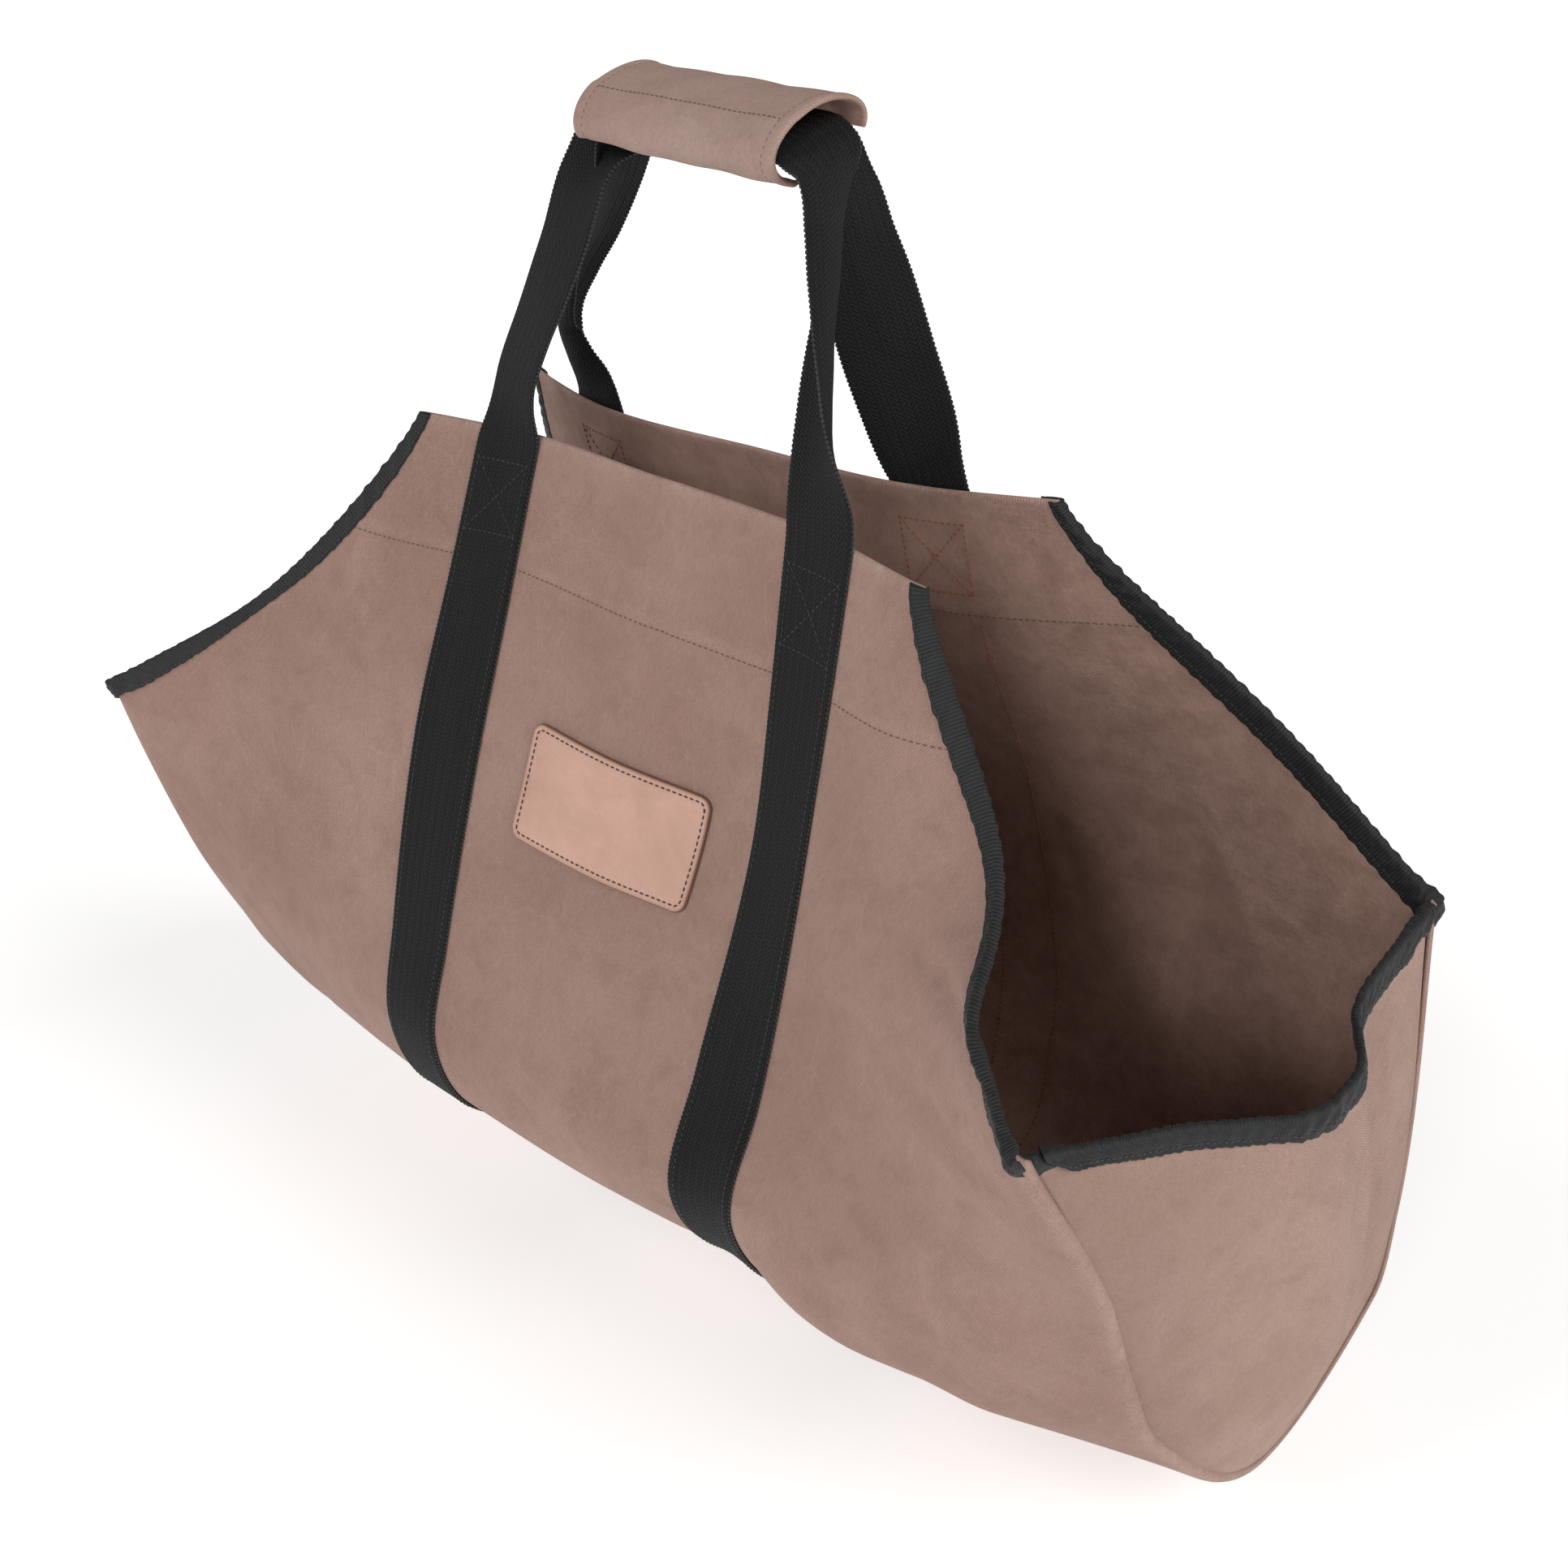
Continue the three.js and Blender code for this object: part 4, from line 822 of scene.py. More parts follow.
def cornerFrames(front, side, first):
    # the tape's way round a corner, from the end panel's edge to the scoop: place, outward, inward
    sign = -1 if front else 1
    u = np.array(corner["onPanel"]) / endPanel["topLength"]
    u = u if front else 1 - u
    edge, out, down = panelPoint(side, [[0], [1], [0]], u[None, :], [[0], [0], [0.03]])
    x, g = side * scoopX[first], sign * scoopG[first]
    inX, inG = side * scoopInward[first, 0] * 6, sign * scoopInward[first, 1] * 6
    start, off, within = offCloth([x, x, x + inX], [g, g, g + inG], [0, 1, 0])
    turn = offCloth(side * (halfLength - corner["turnIn"]), sign * (cornerGirth + corner["turnUp"]), 0)
    outward = unit(np.concatenate([out - edge, [off - start]]))
    inward = unit(np.concatenate([down - edge, [within - start]]))
    place3 = np.concatenate([edge, [turn], [start]])
    outward = np.insert(outward, -1, unit(outward[-2] + outward[-1]), 0)
    inward = np.insert(inward, -1, unit(inward[-2] + inward[-1]), 0)
    rows = np.concatenate([place3, outward, inward], 1)
    length = runLengths(place3)
    t = np.linspace(0, length[-1], int(length[-1] / tape["step"]))[:-1]
    rows = np.stack([smoothAt(length, rows[:, k], t) for k in range(9)], 1)
    bulge = np.exp(-((t - length[-2]) / corner["bulgeLength"]) ** 2)
    return t - length[-1], rows[:, :3], unit(rows[:, 3:6]), unit(rows[:, 6:]), bulge


def cornerTapePoints(frames, phase, path):
    along, place3, outward, inward, bulge = frames
    reach, lift = puckered(path, along + phase)
    narrow = corner["narrow"] + (1 - corner["narrow"]) * np.clip((along - along[0]) / 20, 0, 1)[:, None]
    reach = np.where(reach > 0, reach * narrow, reach)
    lift = lift * (1 + corner["bulge"] * bulge[:, None])
    return place3[:, None] + inward[:, None] * reach[..., None] + outward[:, None] * lift[..., None]


def tapeObject(name, pointsAt, along, paths):
    pathA, pathB, centre = paths
    faceA, faceB = pointsAt(pathA), pointsAt(pathB)
    rolls = edgeRolls((faceA + faceB) / 2, tape["edgeRound"])
    around = runLengths(centre)
    u = np.repeat(around[None, :], len(along), 0)
    v = np.repeat(along[:, None], len(around), 1)
    return finishLoft(name, faceA, faceB, rolls, u, v, tapeLook)


clothHalf = carrier["canvas"] / 2
tapeNames = [("FrontLeft", True, -1, "binding_front_left"), ("FrontRight", True, 1, "binding_front_right"),
             ("BackLeft", False, -1, "binding_back_left"), ("BackRight", False, 1, "binding_back_right")]
cornerStation = int(np.argmax(scoopX < halfLength - corner["clear"]))
for tapeName, front, side, node in tapeNames:
    frames = cornerFrames(front, side, cornerStation)
    phase = scoopAlong[cornerStation] + tapePhase(front, side)
    pointsAt = lambda path: np.concatenate([
        cornerTapePoints(frames, phase, path), scoopTapePoints(front, side, path, cornerStation)])
    along = np.concatenate([frames[0] + scoopAlong[cornerStation], scoopAlong[cornerStation:]])
    scoopPaths = tapeFaces(clothHalf, clothHalf + tape["backExtra"], tape["outerReach"])
    ownPiece(tapeObject("scoopTape" + tapeName, pointsAt, along, scoopPaths), "tape_charcoal", node)

endTape = {"rows": 240, "start": 12, "skew": 1.1, "rampFrom": 16, "rampTo": 30}


def panelEdgePoints(side, along, shares, path):
    reach, lift = puckered(path, along + 40)
    toEnd = np.minimum(along, along[-1] - along)[:, None]
    # its ends lie over the scoops' tape, and are cut aslant
    ramp = smoothStep(toEnd + endTape["start"], endTape["rampFrom"], endTape["rampTo"])
    proud = tape["lap"] * (1 - ramp)
    lift = lift + np.sign(lift) * proud
    reach = np.where(reach <= 0.6, reach - proud, reach)
    aslant = np.clip(reach, 0, None) * endTape["skew"] / along[-1]
    u = shares[:, None] + aslant * (1 - 2 * np.linspace(0, 1, len(shares)))[:, None]
    point = panelPoint(side, lift, u, np.clip(reach, 0, None) / endPanel["tapeDown"])
    point[..., 2] -= np.minimum(reach, 0)
    return point


endShare = endTape["start"] / endPanel["topLength"]
panelShares = np.linspace(endShare, 1 - endShare, endTape["rows"])


def panelRim(side):
    return runLengths(panelPoint(side, 0, panelShares, 0))


for tapeName, side in (("Left", -1), ("Right", 1)):
    pointsAt = lambda path: panelEdgePoints(side, panelRim(side), panelShares, path)
    endPaths = tapeFaces(clothHalf, clothHalf, tape["innerReach"])
    ownPiece(tapeObject("endTape" + tapeName, pointsAt, panelRim(side), endPaths),
             "tape_charcoal", "binding_end_" + tapeName.lower())
print("edge tape made")

# webbing bands
# free legs: rise, along, depth, turn, and the curl across the band in degrees
legRows = {
    "frontLeft": [
        (0.07, -1, 0.95, -10, 0), (0.18, -0.985, 0.86, -14, 0), (0.34, -0.9, 0.74, -15, 0),
        (0.48, -0.82, 0.62, -12, 0), (0.62, -0.76, 0.46, -10, 0), (0.76, -0.715, 0.27, -8, 30),
        (0.86, -0.655, 0.06, 0, 90), (0.93, -0.6, -0.14, 35, 130), (0.975, -0.57, -0.24, 75, 90),
    ],
    "frontRight": [
        (0.06, 0.985, 0.97, 178, 0), (0.13, 0.965, 0.93, 170, 25), (0.22, 0.945, 0.88, 160, 60),
        (0.31, 0.93, 0.82, 152, 90), (0.43, 0.91, 0.73, 144, 105), (0.55, 0.885, 0.62, 134, 110),
        (0.65, 0.865, 0.5, 124, 110), (0.78, 0.82, 0.32, 116, 100), (0.905, 0.77, 0.16, 104, 60),
        (0.966, 0.7, 0.12, 94, 20), (0.994, 0.62, 0.04, 91, 0),
    ],
    "backLeft": [
        (0.06, -1.05, 0.96, -10, -50), (0.15, -1.12, 0.92, -28, -110), (0.27, -1.17, 0.88, -44, -130),
        (0.42, -1.07, 0.82, -56, -120), (0.58, -0.91, 0.78, -66, -80), (0.74, -0.775, 0.74, -74, -50),
        (0.87, -0.69, 0.68, -82, -30), (0.939, -0.63, 0.58, -87, 0), (0.976, -0.56, 0.5, -90, 0),
    ],
    "backRight": [
        (0.1, 0.94, 0.97, -162, 0), (0.22, 0.885, 0.9, -146, 0), (0.38, 0.825, 0.74, -134, 0),
        (0.56, 0.785, 0.53, -120, 0), (0.72, 0.76, 0.3, -104, 0), (0.85, 0.75, 0.15, -94, 0),
        (0.925, 0.71, 0.08, -91, 0), (0.968, 0.66, 0.05, -90, 0),
    ],
}
gripKnots = [-0.5, -0.25, 0, 0.4, 0.8]
webOffset = webbing["spacing"] / 2


def legPath(front, leftRows, rightRows):
    sign = -1 if front else 1
    middle = clothHalf + webbing["gap"] + webbing["thickness"] / 2
    points, turns, banks, curls = [], [], [], []

    def addPanel(side, girth):
        points.append(offCloth(side * webOffset, sign * girth, middle))
        turns.append(0 if side < 0 else -sign * 180)
        banks.append(0)
        curls.append(0)

    def addLeg(side, rows):
        lip = offCloth(side * webOffset, sign * halfGirth, middle)
        for rise, along, depth, turn, curl in rows:
            points.append(np.array([
                along * webOffset, depth * lip[1], lip[2] + rise * (gripHeight - lip[2])]))
            turns.append(turn)
            curls.append(curl)
            banks.append(-sign * grip["tilt"] * smoothStep(rise, webbing["bankStart"], webbing["bankEnd"]))

    inset = webbing["lipInset"]
    stack = -sign * (webbing["thickness"] + webbing["gap"]) / 2
    addPanel(-1, halfGirth - inset)
    addPanel(-1, halfGirth)
    addLeg(-1, leftRows)
    for share in gripKnots:
        points.append(np.array([
            share * grip["length"] / 2, gripBack((share + 1) / 2) - stack * math.sin(gripTilt),
            gripHeight + stack * math.cos(gripTilt)]))
        turns.append(-sign * 90)
        banks.append(-sign * grip["tilt"])
        curls.append(0)
    addLeg(1, rightRows[::-1])
    addPanel(1, halfGirth)
    addPanel(1, halfGirth - inset)
    points = np.array(points)
    lengths = runLengths(points)
    centre = lambda t: np.stack([smoothAt(lengths, points[:, k], t) for k in range(3)], 1)
    start, end = lengths[1], lengths[-2]
    t = np.linspace(start, end, round((end - start) / webbing["step"]) + 1)[1:-1]
    turn = np.radians(smoothAt(lengths, turns, t))
    bank = np.radians(smoothAt(lengths, banks, t))
    curl = np.radians(smoothAt(lengths, curls, t))
    tangent = centre(t + 0.5) - centre(t - 0.5)
    tangent /= np.linalg.norm(tangent, axis=1)[:, None]
    width = np.stack([np.cos(turn) * np.cos(bank), np.sin(turn) * np.cos(bank), np.sin(bank)], 1)
    width -= tangent * np.einsum("ij,ij->i", width, tangent)[:, None]
    width /= np.linalg.norm(width, axis=1)[:, None]
    return centre(t), width, np.cross(width, tangent), curl


def bandGrids(front, leftRows, rightRows):
    # the two faces of a whole band: up the left of the cloth, over the grip, down the right
    sign = -1 if front else 1
    shares = np.array([0.5, 0.46, 0.38, 0.29, 0.2, 0.1, 0, -0.1, -0.2, -0.29, -0.38, -0.46, -0.5])
    shares = shares * (1 if front else -1)
    thin = webbing["edgeThin"] * np.exp(-((0.5 - np.abs(shares)) / webbing["thinReach"]) ** 2)
    near = clothHalf + webbing["standOff"]
    far = near + webbing["thickness"]
    girth = np.linspace(0, halfGirth, round(halfGirth / webbing["step"]) + 1)

    def panelGrid(side, g):
        x = side * webOffset - side * shares[None, :] * webbing["width"] * np.ones((len(g), 1))
        gg = np.repeat(g[:, None], len(shares), 1)
        return offCloth(x, sign * gg, far - thin[None, :]), offCloth(x, sign * gg, near)

    # across a leg the band curls into part of a tube
    centre, width, normal, curl = legPath(front, leftRows, rightRows)
    bend = shares[None, :] * curl[:, None]
    lateral = webbing["width"] * shares * np.sinc(bend / math.pi)
    depth = webbing["width"] * shares * bend / 2 * np.sinc(bend / (2 * math.pi)) ** 2
    depth = depth - depth.mean(1)[:, None]
    body = centre[:, None] + width[:, None] * lateral[..., None] + normal[:, None] * depth[..., None]
    face = normal[:, None] * np.cos(bend)[..., None] - width[:, None] * np.sin(bend)[..., None]
    half = (webbing["thickness"] / 2 - thin / 2)[None, :, None]
    legA, legB = body + face * half, body - face * half
    outLeft, inLeft = panelGrid(-1, girth)
    outRight, inRight = panelGrid(1, girth[::-1])
    if front:
        return np.concatenate([outLeft, legA, outRight]), np.concatenate([inLeft, legB, inRight]), shares
    return np.concatenate([inLeft, legA, inRight]), np.concatenate([outLeft, legB, outRight]), shares


def eased(grid, rounds):
    # takes the last unevenness out where the free legs join the cloth
    panelRows = round(halfGirth / webbing["step"]) + 1
    for _ in range(rounds):
        for k in (panelRows, len(grid) - panelRows):
            span = slice(k - 4, k + 4)
            before, after = slice(k - 5, k + 3), slice(k - 3, k + 5)
            grid[span] = (grid[before] + 2 * grid[span] + grid[after]) / 4
    return grid


bandEdges = []
for bandName, front, node in (("Front", True, "webbing_front"), ("Back", False, "webbing_back")):
    key = "front" if front else "back"
    faceA, faceB, shares = bandGrids(front, legRows[key + "Left"], legRows[key + "Right"])
    faceA, faceB = eased(faceA, 3), eased(faceB, 3)
    middle = (faceA + faceB) / 2
    rollEnd, rollStart = edgeRolls(middle, webbing["edgeRound"])
    line = middle[:, len(shares) // 2]
    along = runLengths(line)
    u = np.repeat((shares * webbing["width"])[None, :], len(line), 0) + 60
    v = np.repeat(along[:, None], len(shares), 1)
    band = finishLoft("webbing" + bandName, faceA, faceB, (rollEnd, rollStart), u, v, webLook)
    ownPiece(band, "webbing_black", node)
    bandEdges += [rollStart[:, 0], rollEnd[:, 0]]
print("webbing made")

# grip wrap
def gripPoint(share, degrees, inset):
    angle = np.radians(degrees)
    y = (grip["depth"] / 2 - inset) * np.cos(angle)
    z = (grip["height"] / 2 - inset) * np.sin(angle)
    return np.stack([
        (share - 0.5) * grip["length"],
        gripBack(share) + y * math.cos(gripTilt) - z * math.sin(gripTilt),
        gripHeight + y * math.sin(gripTilt) + z * math.cos(gripTilt)], -1)


def gripArc(share, count):
    under = grip["leftUnder"] + (grip["rightUnder"] - grip["leftUnder"]) * share
    back = grip["leftTurnBack"] + (grip["rightTurnBack"] - grip["leftTurnBack"]) * share
    return -back + (180 + under + back) * np.linspace(0, 1, count)[None, :]


def gripSwell(share, degrees):
    # rims stand a little proud, the overlap makes a step, and the cloth creases between
    toEnd = (0.5 - np.abs(share - 0.5)) * grip["length"]
    rim = 0.5 * np.exp(-((toEnd - 3.0) / 2.6) ** 2)
    rim = rim - 0.45 * np.exp(-((toEnd - grip["rimStitch"]) / 1.1) ** 2)
    lap = 0.8 / (1 + np.exp(-(degrees - grip["seamAngle"]) / 1.6)) - 0.4
    crease = 0.5 * np.sin(share * 17 + degrees / 24) * np.sin(degrees / 31 + share * 5)
    return rim + lap + crease


def gripMesh():
    length = grip["length"]
    ends = np.array([0, 0.35, 0.9, 1.7, 2.6]) / length
    share = np.concatenate([ends, np.linspace(3.6 / length, 1 - 3.6 / length, 64), 1 - ends[::-1]])[:, None]
    toEnd = (0.5 - np.abs(share - 0.5)) * length
    roundness = grip["rimRound"] * (1 - np.sqrt(np.clip(1 - (1 - np.clip(toEnd / 1.7, 0, 1)) ** 2, 0, 1)))
    degrees = gripArc(share, 64)
    share = share * np.ones_like(degrees)
    swell = gripSwell(share, degrees)
    faceA = gripPoint(share, degrees, roundness - swell)
    faceB = gripPoint(share, degrees, grip["thickness"] - roundness - 0.4 * swell)
    rolls = edgeRolls((faceA + faceB) / 2, grip["edgeRound"])
    u = share * length + 1400
    v = degrees * 0.42
    return finishLoft("gripWrap", faceA, faceB, rolls, u, v, gripCanvasLook)


gripPiece = ownPiece(gripMesh(), "canvas_brown", "grip_wrap")
print("grip wrap made")

# leather patch
patch = {"length": 101, "height": 56, "thickness": 2.0, "corner": 6, "tilt": 3, "drop": 5, "stand": 0.15,
         "edgeRound": 0.8, "stitchIn": 2.9, "groove": 0.4, "pillow": 0.25}


def patchPlace(x, rise, distance):
    tilt = math.radians(patch["tilt"])
    flatX = x * math.cos(tilt) + rise * math.sin(tilt)
    flatG = cornerGirth - patch["drop"] + rise * math.cos(tilt) - x * math.sin(tilt)
    return offCloth(flatX, -flatG, distance)


def patchMesh():
    halfX, halfR, corner = patch["length"] / 2, patch["height"] / 2, patch["corner"]
    ease = lambda n: np.sin(np.linspace(-1, 1, n) * math.pi / 2)
    mix = lambda n: 0.55 * np.linspace(-1, 1, n) + 0.45 * ease(n)
    rise = (mix(58) * halfR)[:, None]
    over = np.clip(np.abs(rise) - (halfR - corner), 0, corner)
    width = halfX - corner + np.sqrt(np.clip(corner**2 - over**2, 0, None))
    x = mix(96)[None, :] * width
    rise = rise * np.ones_like(x)
    qx = np.abs(x) - (halfX - corner)
    qr = np.abs(rise) - (halfR - corner)
    outside = np.hypot(np.clip(qx, 0, None), np.clip(qr, 0, None)) + np.minimum(np.maximum(qx, qr), 0)
    depth = np.clip(corner - outside, 0, None)
    shoulder = 1 - np.clip(depth / patch["edgeRound"], 0, 1)
    height = patch["thickness"] - patch["edgeRound"] * (1 - np.sqrt(1 - shoulder**2))
    height = height - patch["groove"] * np.exp(-((depth - patch["stitchIn"]) / 0.7) ** 2)
    height = height + patch["pillow"] * np.clip((depth - patch["stitchIn"]) / 6, 0, 1)
    base = clothHalf + patch["stand"]
    faceA = patchPlace(x, rise, base + height)
    faceB = patchPlace(x, rise, base)
    middle = (faceA + faceB) / 2
    piece = finishLoft("leatherPatch", faceA, faceB, (middle[:, -1:], middle[:, :1]), x, rise, leatherLook)
    rimValues = np.concatenate([
        np.exp(-depth / 0.7), np.ones((len(x), 1)), np.ones_like(depth), np.ones((len(x), 1))], 1)
    setPointValues(piece.data, "inside", rimValues)
    return piece


ownPiece(patchMesh(), "leather_tan", "leather_patch")
print("leather patch made")

# stitches
# thread radius of each run in mm
stitch = {"pitch": 3.1, "length": 2.3, "lift": 0.05, "canvasThread": 0.36, "rustThread": 0.46,
          "blackThread": 0.38, "tapeThread": 0.30, "patchThread": 0.42}


def stitchTree():
    # instances a thread bead at even steps along every line of the mesh
    tree = bpy.data.node_groups.new("stitchRun", "GeometryNodeTree")
    face = tree.interface
    face.new_socket(name="Geometry", in_out="INPUT", socket_type="NodeSocketGeometry")
    for name, value in (("Pitch", 0.003), ("Bead length", 0.0023), ("Bead radius", 0.00035), ("Slant", 0.12)):
        socket = face.new_socket(name=name, in_out="INPUT", socket_type="NodeSocketFloat")
        socket.default_value = value
    face.new_socket(name="Thread", in_out="INPUT", socket_type="NodeSocketMaterial")
    face.new_socket(name="Geometry", in_out="OUTPUT", socket_type="NodeSocketGeometry")
    add = lambda kind, inputs=None, **settings: addNode(tree, kind, inputs, **settings)
    given = add("NodeGroupInput").outputs
    curve = add("GeometryNodeMeshToCurve", {"Mesh": given["Geometry"]}).outputs[0]
    points = add("GeometryNodeResampleCurve", {"Curve": curve, "Length": given["Pitch"]}, mode="LENGTH")
    bead = add("GeometryNodeMeshUVSphere", {"Segments": 6, "Rings": 4, "Radius": 1.0}).outputs[0]
    half = add("ShaderNodeMath", {0: given["Bead length"], 1: 0.5}, operation="MULTIPLY").outputs[0]
    size = add("ShaderNodeCombineXYZ", {
        0: given["Bead radius"], 1: given["Bead radius"], 2: half}).outputs[0]
    tangent = add("GeometryNodeInputTangent").outputs[0]
    wobble = add("FunctionNodeRandomValue", {"Seed": 7}, data_type="FLOAT_VECTOR")
    wobble.inputs[0].default_value = (-1, -1, -1)
    wobble.inputs[1].default_value = (1, 1, 1)
    slant = add("ShaderNodeVectorMath", {0: wobble.outputs[0]}, operation="SCALE")
    tree.links.new(given["Slant"], slant.inputs["Scale"])
    aim = add("ShaderNodeVectorMath", {0: tangent, 1: slant.outputs[0]}, operation="ADD").outputs[0]
    turn = add("FunctionNodeAlignRotationToVector", {"Vector": aim}, axis="Z").outputs[0]
    beads = add("GeometryNodeInstanceOnPoints", {
        "Points": points.outputs[0], "Instance": bead, "Rotation": turn, "Scale": size}).outputs[0]
    real = add("GeometryNodeRealizeInstances", {"Geometry": beads}).outputs[0]
    smooth = add("GeometryNodeSetShadeSmooth", {"Geometry": real}).outputs[0]
    painted = add("GeometryNodeSetMaterial", {"Geometry": smooth, "Material": given["Thread"]}).outputs[0]
    tree.links.new(painted, add("NodeGroupOutput").inputs[0])
    return tree


stitchGroup = stitchTree()


def runMesh(name, runs, values):
    # runs: lists of points in carrier millimetres; values: the tree's inputs by their names
    verts, edges = [], []
    for run in runs:
        start = len(verts)
        verts += place(run).tolist()
        edges += [(start + k, start + k + 1) for k in range(len(run) - 1)]
    mesh = bpy.data.meshes.new(name + "Lines")
    mesh.from_pydata(verts, edges, [])
    holder = newObject(name + "Lines", mesh)
    modifier = holder.modifiers.new("stitches", "NODES")
    modifier.node_group = stitchGroup
    for item in stitchGroup.interface.items_tree:
        if item.item_type == "SOCKET" and item.in_out == "INPUT" and item.name in values:
            modifier[item.identifier] = values[item.name]
    bpy.context.view_layer.update()
    shown = holder.evaluated_get(bpy.context.evaluated_depsgraph_get())
    plain = bpy.data.meshes.new_from_object(shown)
    plain.name = name
    bpy.data.objects.remove(holder)
    return newObject(name, plain)


def clothRun(points, lift):
    # points: (x, girth) pairs joined by straight runs on the flat cloth
    dense = []
    for (x0, g0), (x1, g1) in zip(points[:-1], points[1:]):
        count = max(2, int(math.hypot(x1 - x0, g1 - g0) / 3) + 1)
        dense += [(x0 + (x1 - x0) * t, g0 + (g1 - g0) * t) for t in np.linspace(0, 1, count)]
    dense = np.array(dense)
    return offCloth(dense[:, 0], dense[:, 1], lift)


def boxRuns(side, sign):
    # the crossed box that holds a band to the hem
    top, low = halfGirth - webbing["boxTop"], halfGirth - webbing["boxTop"] - webbing["boxLength"]
    left = side * webOffset - webbing["boxWidth"] / 2
    right = side * webOffset + webbing["boxWidth"] / 2
    corners = [(left, top), (right, top), (right, low), (left, low), (left, top)]
    lines = [corners, [(left, top), (right, low)], [(right, top), (left, low)]]
    return [[(x, sign * g) for x, g in line] for line in lines]


insideHem = -clothHalf - carrier["hemExtra"] - 0.15
outsideWeb = clothHalf + webbing["standOff"] + webbing["thickness"] + 0.02
runs = {"canvasThread": [], "rustThread": [], "blackThread": [], "tapeThread": [], "patchThread": []}
for sign in (-1, 1):
    wide = float(cutHalfLength(hemLine(195, [sign]))[0]) - 9
    hemRun = lambda x0, x1: [(x, sign * float(hemLine(x, sign))) for x in np.linspace(x0, x1, 40)]
    bandIn, bandOut = webOffset - webbing["width"] / 2, webOffset + webbing["width"] / 2
    for x0, x1 in ((-wide, -bandOut), (-bandIn, bandIn), (bandOut, wide)):
        runs["canvasThread"].append(clothRun(hemRun(x0, x1), clothHalf + stitch["lift"]))
    # the inside hem run is partly painted shade: real stitches in the dark brown thread, also standing in for
    # the shadow line of the hem's fold
    runs["canvasThread"].append(clothRun(hemRun(-wide, wide), insideHem))
    for side in (-1, 1):
        for line in boxRuns(side, sign):
            runs["blackThread"].append(clothRun(line, outsideWeb))
            runs["rustThread"].append(clothRun(line, insideHem))
        for edge in (-1, 1):
            x = side * webOffset + edge * (webbing["width"] / 2 - webbing["edgeStitch"])
            upper = halfGirth - webbing["boxTop"] - webbing["boxLength"]
            runs["blackThread"].append(clothRun([(x, sign * 4), (x, sign * upper)], outsideWeb - 0.02))
            hem = float(hemLine(x, sign)) - 6
            runs["rustThread"].append(clothRun([(x, sign * 4), (x, sign * hem)], -clothHalf - stitch["lift"]))
for tapeName, front, side, node in tapeNames:
    for lift in (clothHalf + tape["stand"] + tape["threadOut"],
                 -clothHalf - tape["backExtra"] - tape["stand"] - tape["threadOut"]):
        path = np.array([[tape["stitchIn"], lift]])
        runs["tapeThread"].append(scoopTapePoints(front, side, path, cornerStation)[2:-2, 0])
for side in (-1, 1):
    for lift in (clothHalf + tape["stand"] + tape["threadOut"],
                 -clothHalf - tape["stand"] - tape["threadOut"]):
        path = np.array([[tape["stitchIn"], lift]])
        runs["tapeThread"].append(panelEdgePoints(side, panelRim(side), panelShares, path)[3:-3, 0])


def patchRun():
    inset = patch["stitchIn"]
    halfX, halfR = patch["length"] / 2 - inset, patch["height"] / 2 - inset
    corner = max(patch["corner"] - inset, 1.2)
    outline = []
    for cx, cr, start in ((1, 1, 0), (-1, 1, 90), (-1, -1, 180), (1, -1, 270)):
        for degrees in np.linspace(start, start + 90, 5):
            a = math.radians(degrees)
            outline.append((cx * (halfX - corner) + corner * math.cos(a),
                            cr * (halfR - corner) + corner * math.sin(a)))
    outline.append(outline[0])
    dense = []
    for (x0, r0), (x1, r1) in zip(outline[:-1], outline[1:]):
        count = max(1, round(math.hypot(x1 - x0, r1 - r0) / 3))
        dense += [(x0 + (x1 - x0) * k / count, r0 + (r1 - r0) * k / count) for k in range(count)]
    dense = np.array(dense + [outline[0]])
    return patchPlace(dense[:, 0], dense[:, 1], clothHalf + patch["stand"] + patch["thickness"] - 0.18)


runs["patchThread"].append(patchRun())
rimShare = grip["rimStitch"] / grip["length"]
for share in (rimShare, 1 - rimShare):
    arc = gripArc(np.array([[share]]), 60)[0][3:-3]
    runs["canvasThread"].append(gripPoint(share * np.ones_like(arc), arc, -gripSwell(share, arc) - 0.1))
seamShare = grip["seamInset"] / grip["length"]
line = np.linspace(seamShare, 1 - seamShare, 50)
angle = np.full_like(line, grip["seamAngle"] + 6.0)
runs["canvasThread"].append(gripPoint(line, angle, -gripSwell(line, angle) - 0.1))

threadSlots = {"canvasThread": "canvas_brown", "rustThread": "canvas_brown", "blackThread": "webbing_black",
               "tapeThread": "tape_charcoal", "patchThread": "leather_tan"}
for key, lines in runs.items():
    piece = runMesh(key + "Stitches", lines, {
        "Pitch": stitch["pitch"] / 1000, "Bead length": stitch["length"] / 1000,
        "Bead radius": stitch[key] / 1000, "Thread": threadLooks[key]})
    ownPiece(piece, threadSlots[key])
    print(key, "stitches:", len(piece.data.polygons), "faces")

selvedge = {"pitch": 2.1, "length": 1.9, "radius": 0.62}
piece = runMesh("webbingSelvedge", bandEdges, {
    "Pitch": selvedge["pitch"] / 1000, "Bead length": selvedge["length"] / 1000,
    "Bead radius": selvedge["radius"] / 1000, "Thread": threadLooks["blackThread"], "Slant": 0.0})
ownPiece(piece, "webbing_black")
print("selvedge:", len(piece.data.polygons), "faces")

# floor, light and camera
stage = {"floorDrop": 0.03, "floorColour": (0.93, 0.93, 0.93), "floorGlow": 0.46, "world": 0.22}


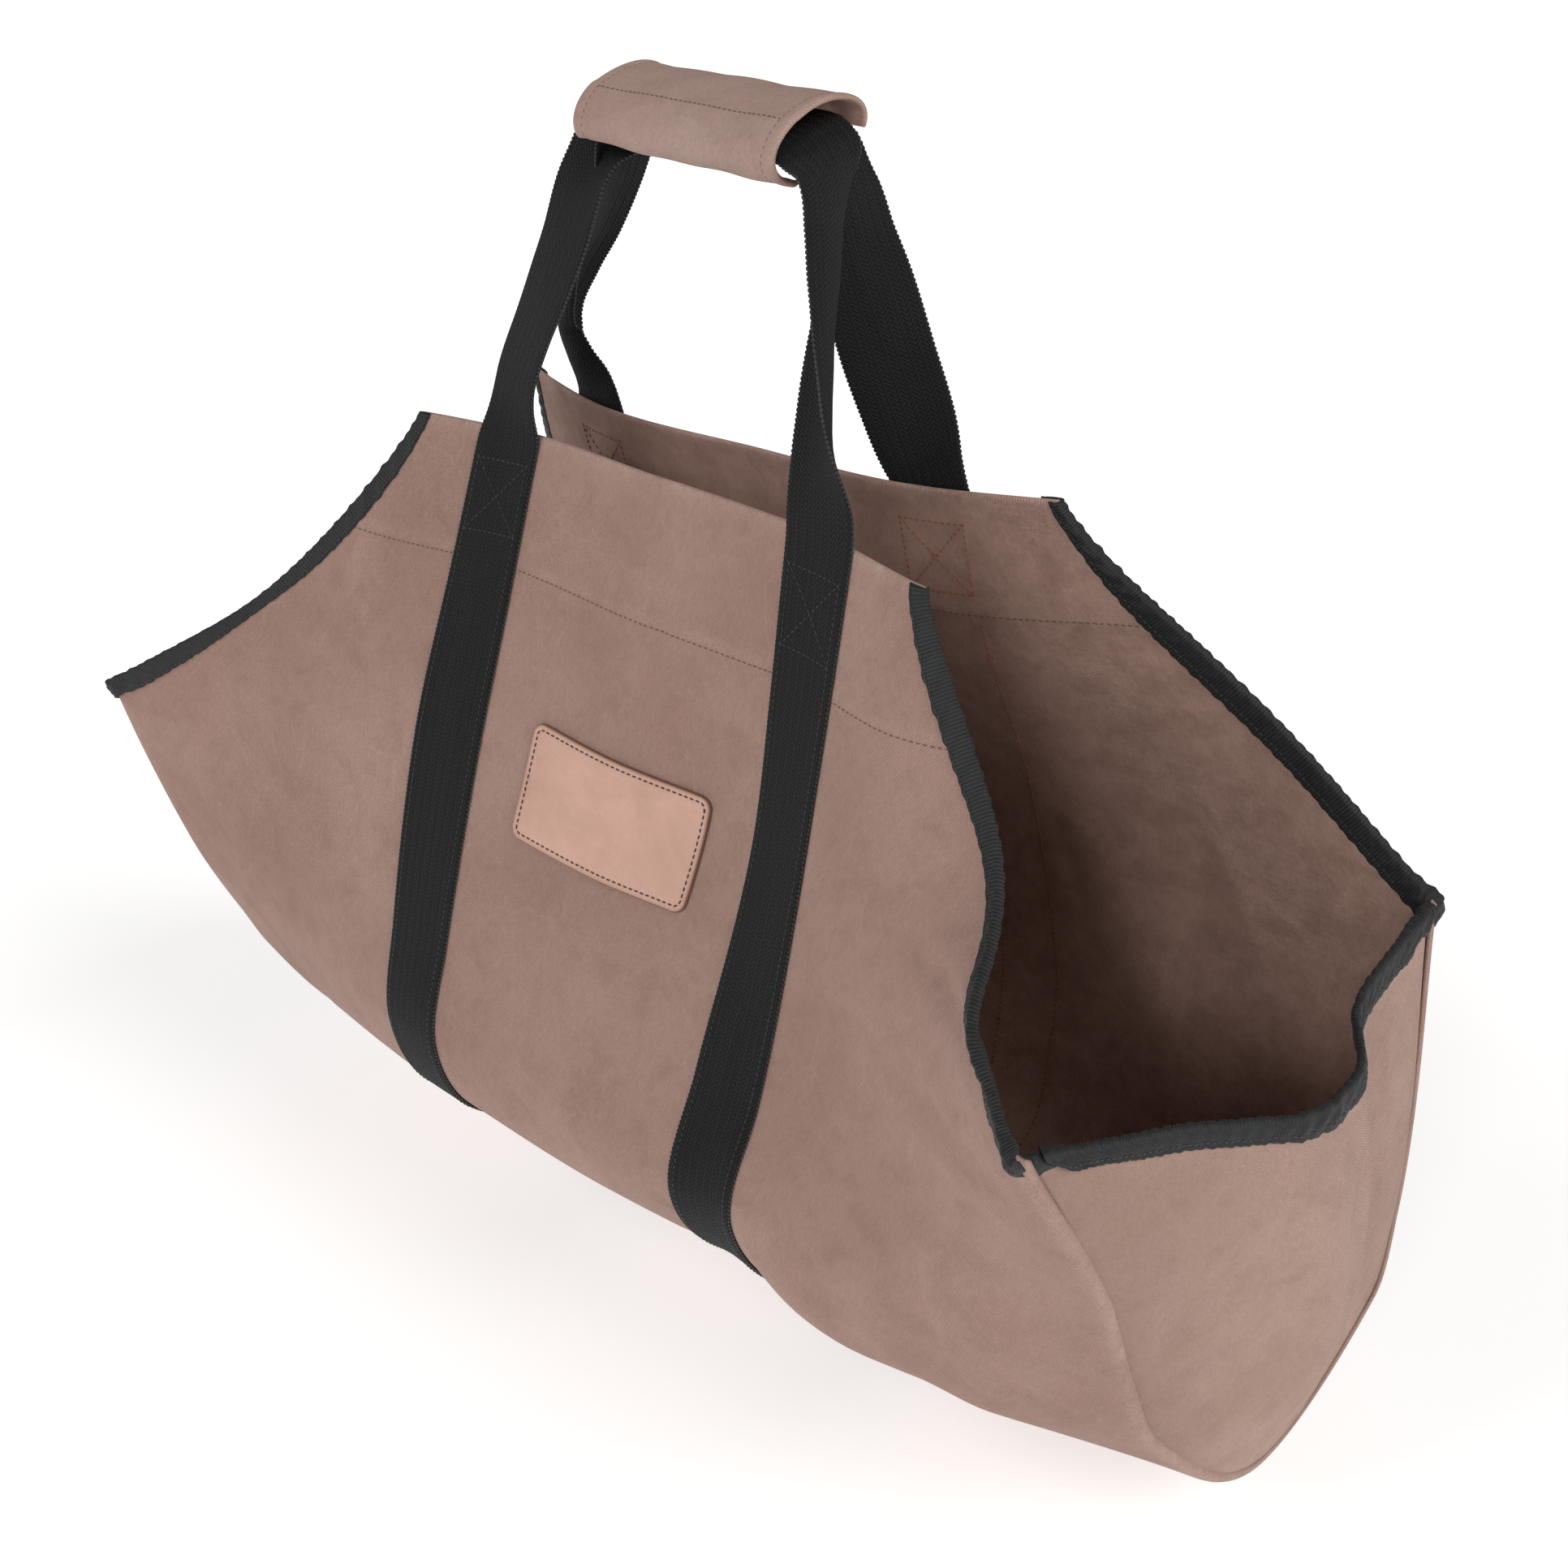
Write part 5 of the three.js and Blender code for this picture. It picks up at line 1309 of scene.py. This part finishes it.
def makeFloor():
    mesh = bpy.data.meshes.new("floor")
    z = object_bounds()[0][2] - stage["floorDrop"]
    mesh.from_pydata([(-40, -40, z), (40, -40, z), (40, 40, z), (-40, 40, z)], [], [(0, 1, 2, 3)])
    floor = newObject("floor", mesh)
    material, tree, shader = newMaterial("paleFloor")
    setInputs(tree, shader, {
        "Base Color": (*stage["floorColour"], 1), "Roughness": 0.9, "Specular IOR Level": 0.1,
        "Emission Color": (1, 1, 1, 1), "Emission Strength": stage["floorGlow"]})
    mesh.materials.append(material)


def makeWorld():
    world = bpy.data.worlds.new("studio")
    bpy.context.scene.world = world
    world.use_nodes = True
    world.node_tree.nodes["Background"].inputs[0].default_value = (1, 1, 1, 1)
    world.node_tree.nodes["Background"].inputs[1].default_value = stage["world"]
    bpy.context.scene.view_settings.view_transform = "Standard"


# broad lamps far off: name, azimuth from the front, elevation, spread, strength, tint
lamps = [
    ("keyLamp", -18, 38, 26, 0.85, (1.0, 0.99, 0.98)),
    ("sideLamp", 98, 35, 40, 1.45, (1.0, 0.985, 0.965)),
    ("lowLamp", 24, 22, 16, 0.65, (1.0, 0.99, 0.98)),
]


def makeLights():
    for name, azimuth, elevation, spread, strength, tint in lamps:
        light = bpy.data.lights.new(name, "SUN")
        light.angle = math.radians(spread)
        light.energy = strength
        light.color = tint
        lamp = bpy.data.objects.new(name, light)
        bpy.context.scene.collection.objects.link(lamp)
        a, e = math.radians(azimuth), math.radians(elevation)
        towards = Vector((math.sin(a) * math.cos(e), -math.cos(a) * math.cos(e), math.sin(e)))
        lamp.rotation_euler = towards.to_track_quat("Z", "Y").to_euler()


cameraView = {"place": (0.69368, -0.65330, 0.13757), "azimuth": 44.85, "elevation": 24.78, "roll": 0.52,
              "lens": 50.84, "sensor": 36}


def makeCamera():
    a, e, r = (math.radians(cameraView[k]) for k in ("azimuth", "elevation", "roll"))
    back = Vector((math.sin(a) * math.cos(e), -math.cos(a) * math.cos(e), math.sin(e)))
    right = Vector((math.cos(a), math.sin(a), 0))
    up = back.cross(right)
    turned = right * math.cos(r) + up * math.sin(r)
    upright = up * math.cos(r) - right * math.sin(r)
    data = bpy.data.cameras.new("photoCamera")
    data.lens, data.sensor_width = cameraView["lens"], cameraView["sensor"]
    data.clip_start, data.clip_end = 0.01, 100
    camera = bpy.data.objects.new("photoCamera", data)
    bpy.context.scene.collection.objects.link(camera)
    turn = Matrix((turned, upright, back)).transposed().to_4x4()
    camera.matrix_world = Matrix.Translation(Vector(cameraView["place"])) @ turn
    bpy.context.scene.camera = camera


makeFloor()
makeWorld()
makeLights()
makeCamera()
print("stage, light and camera ready")
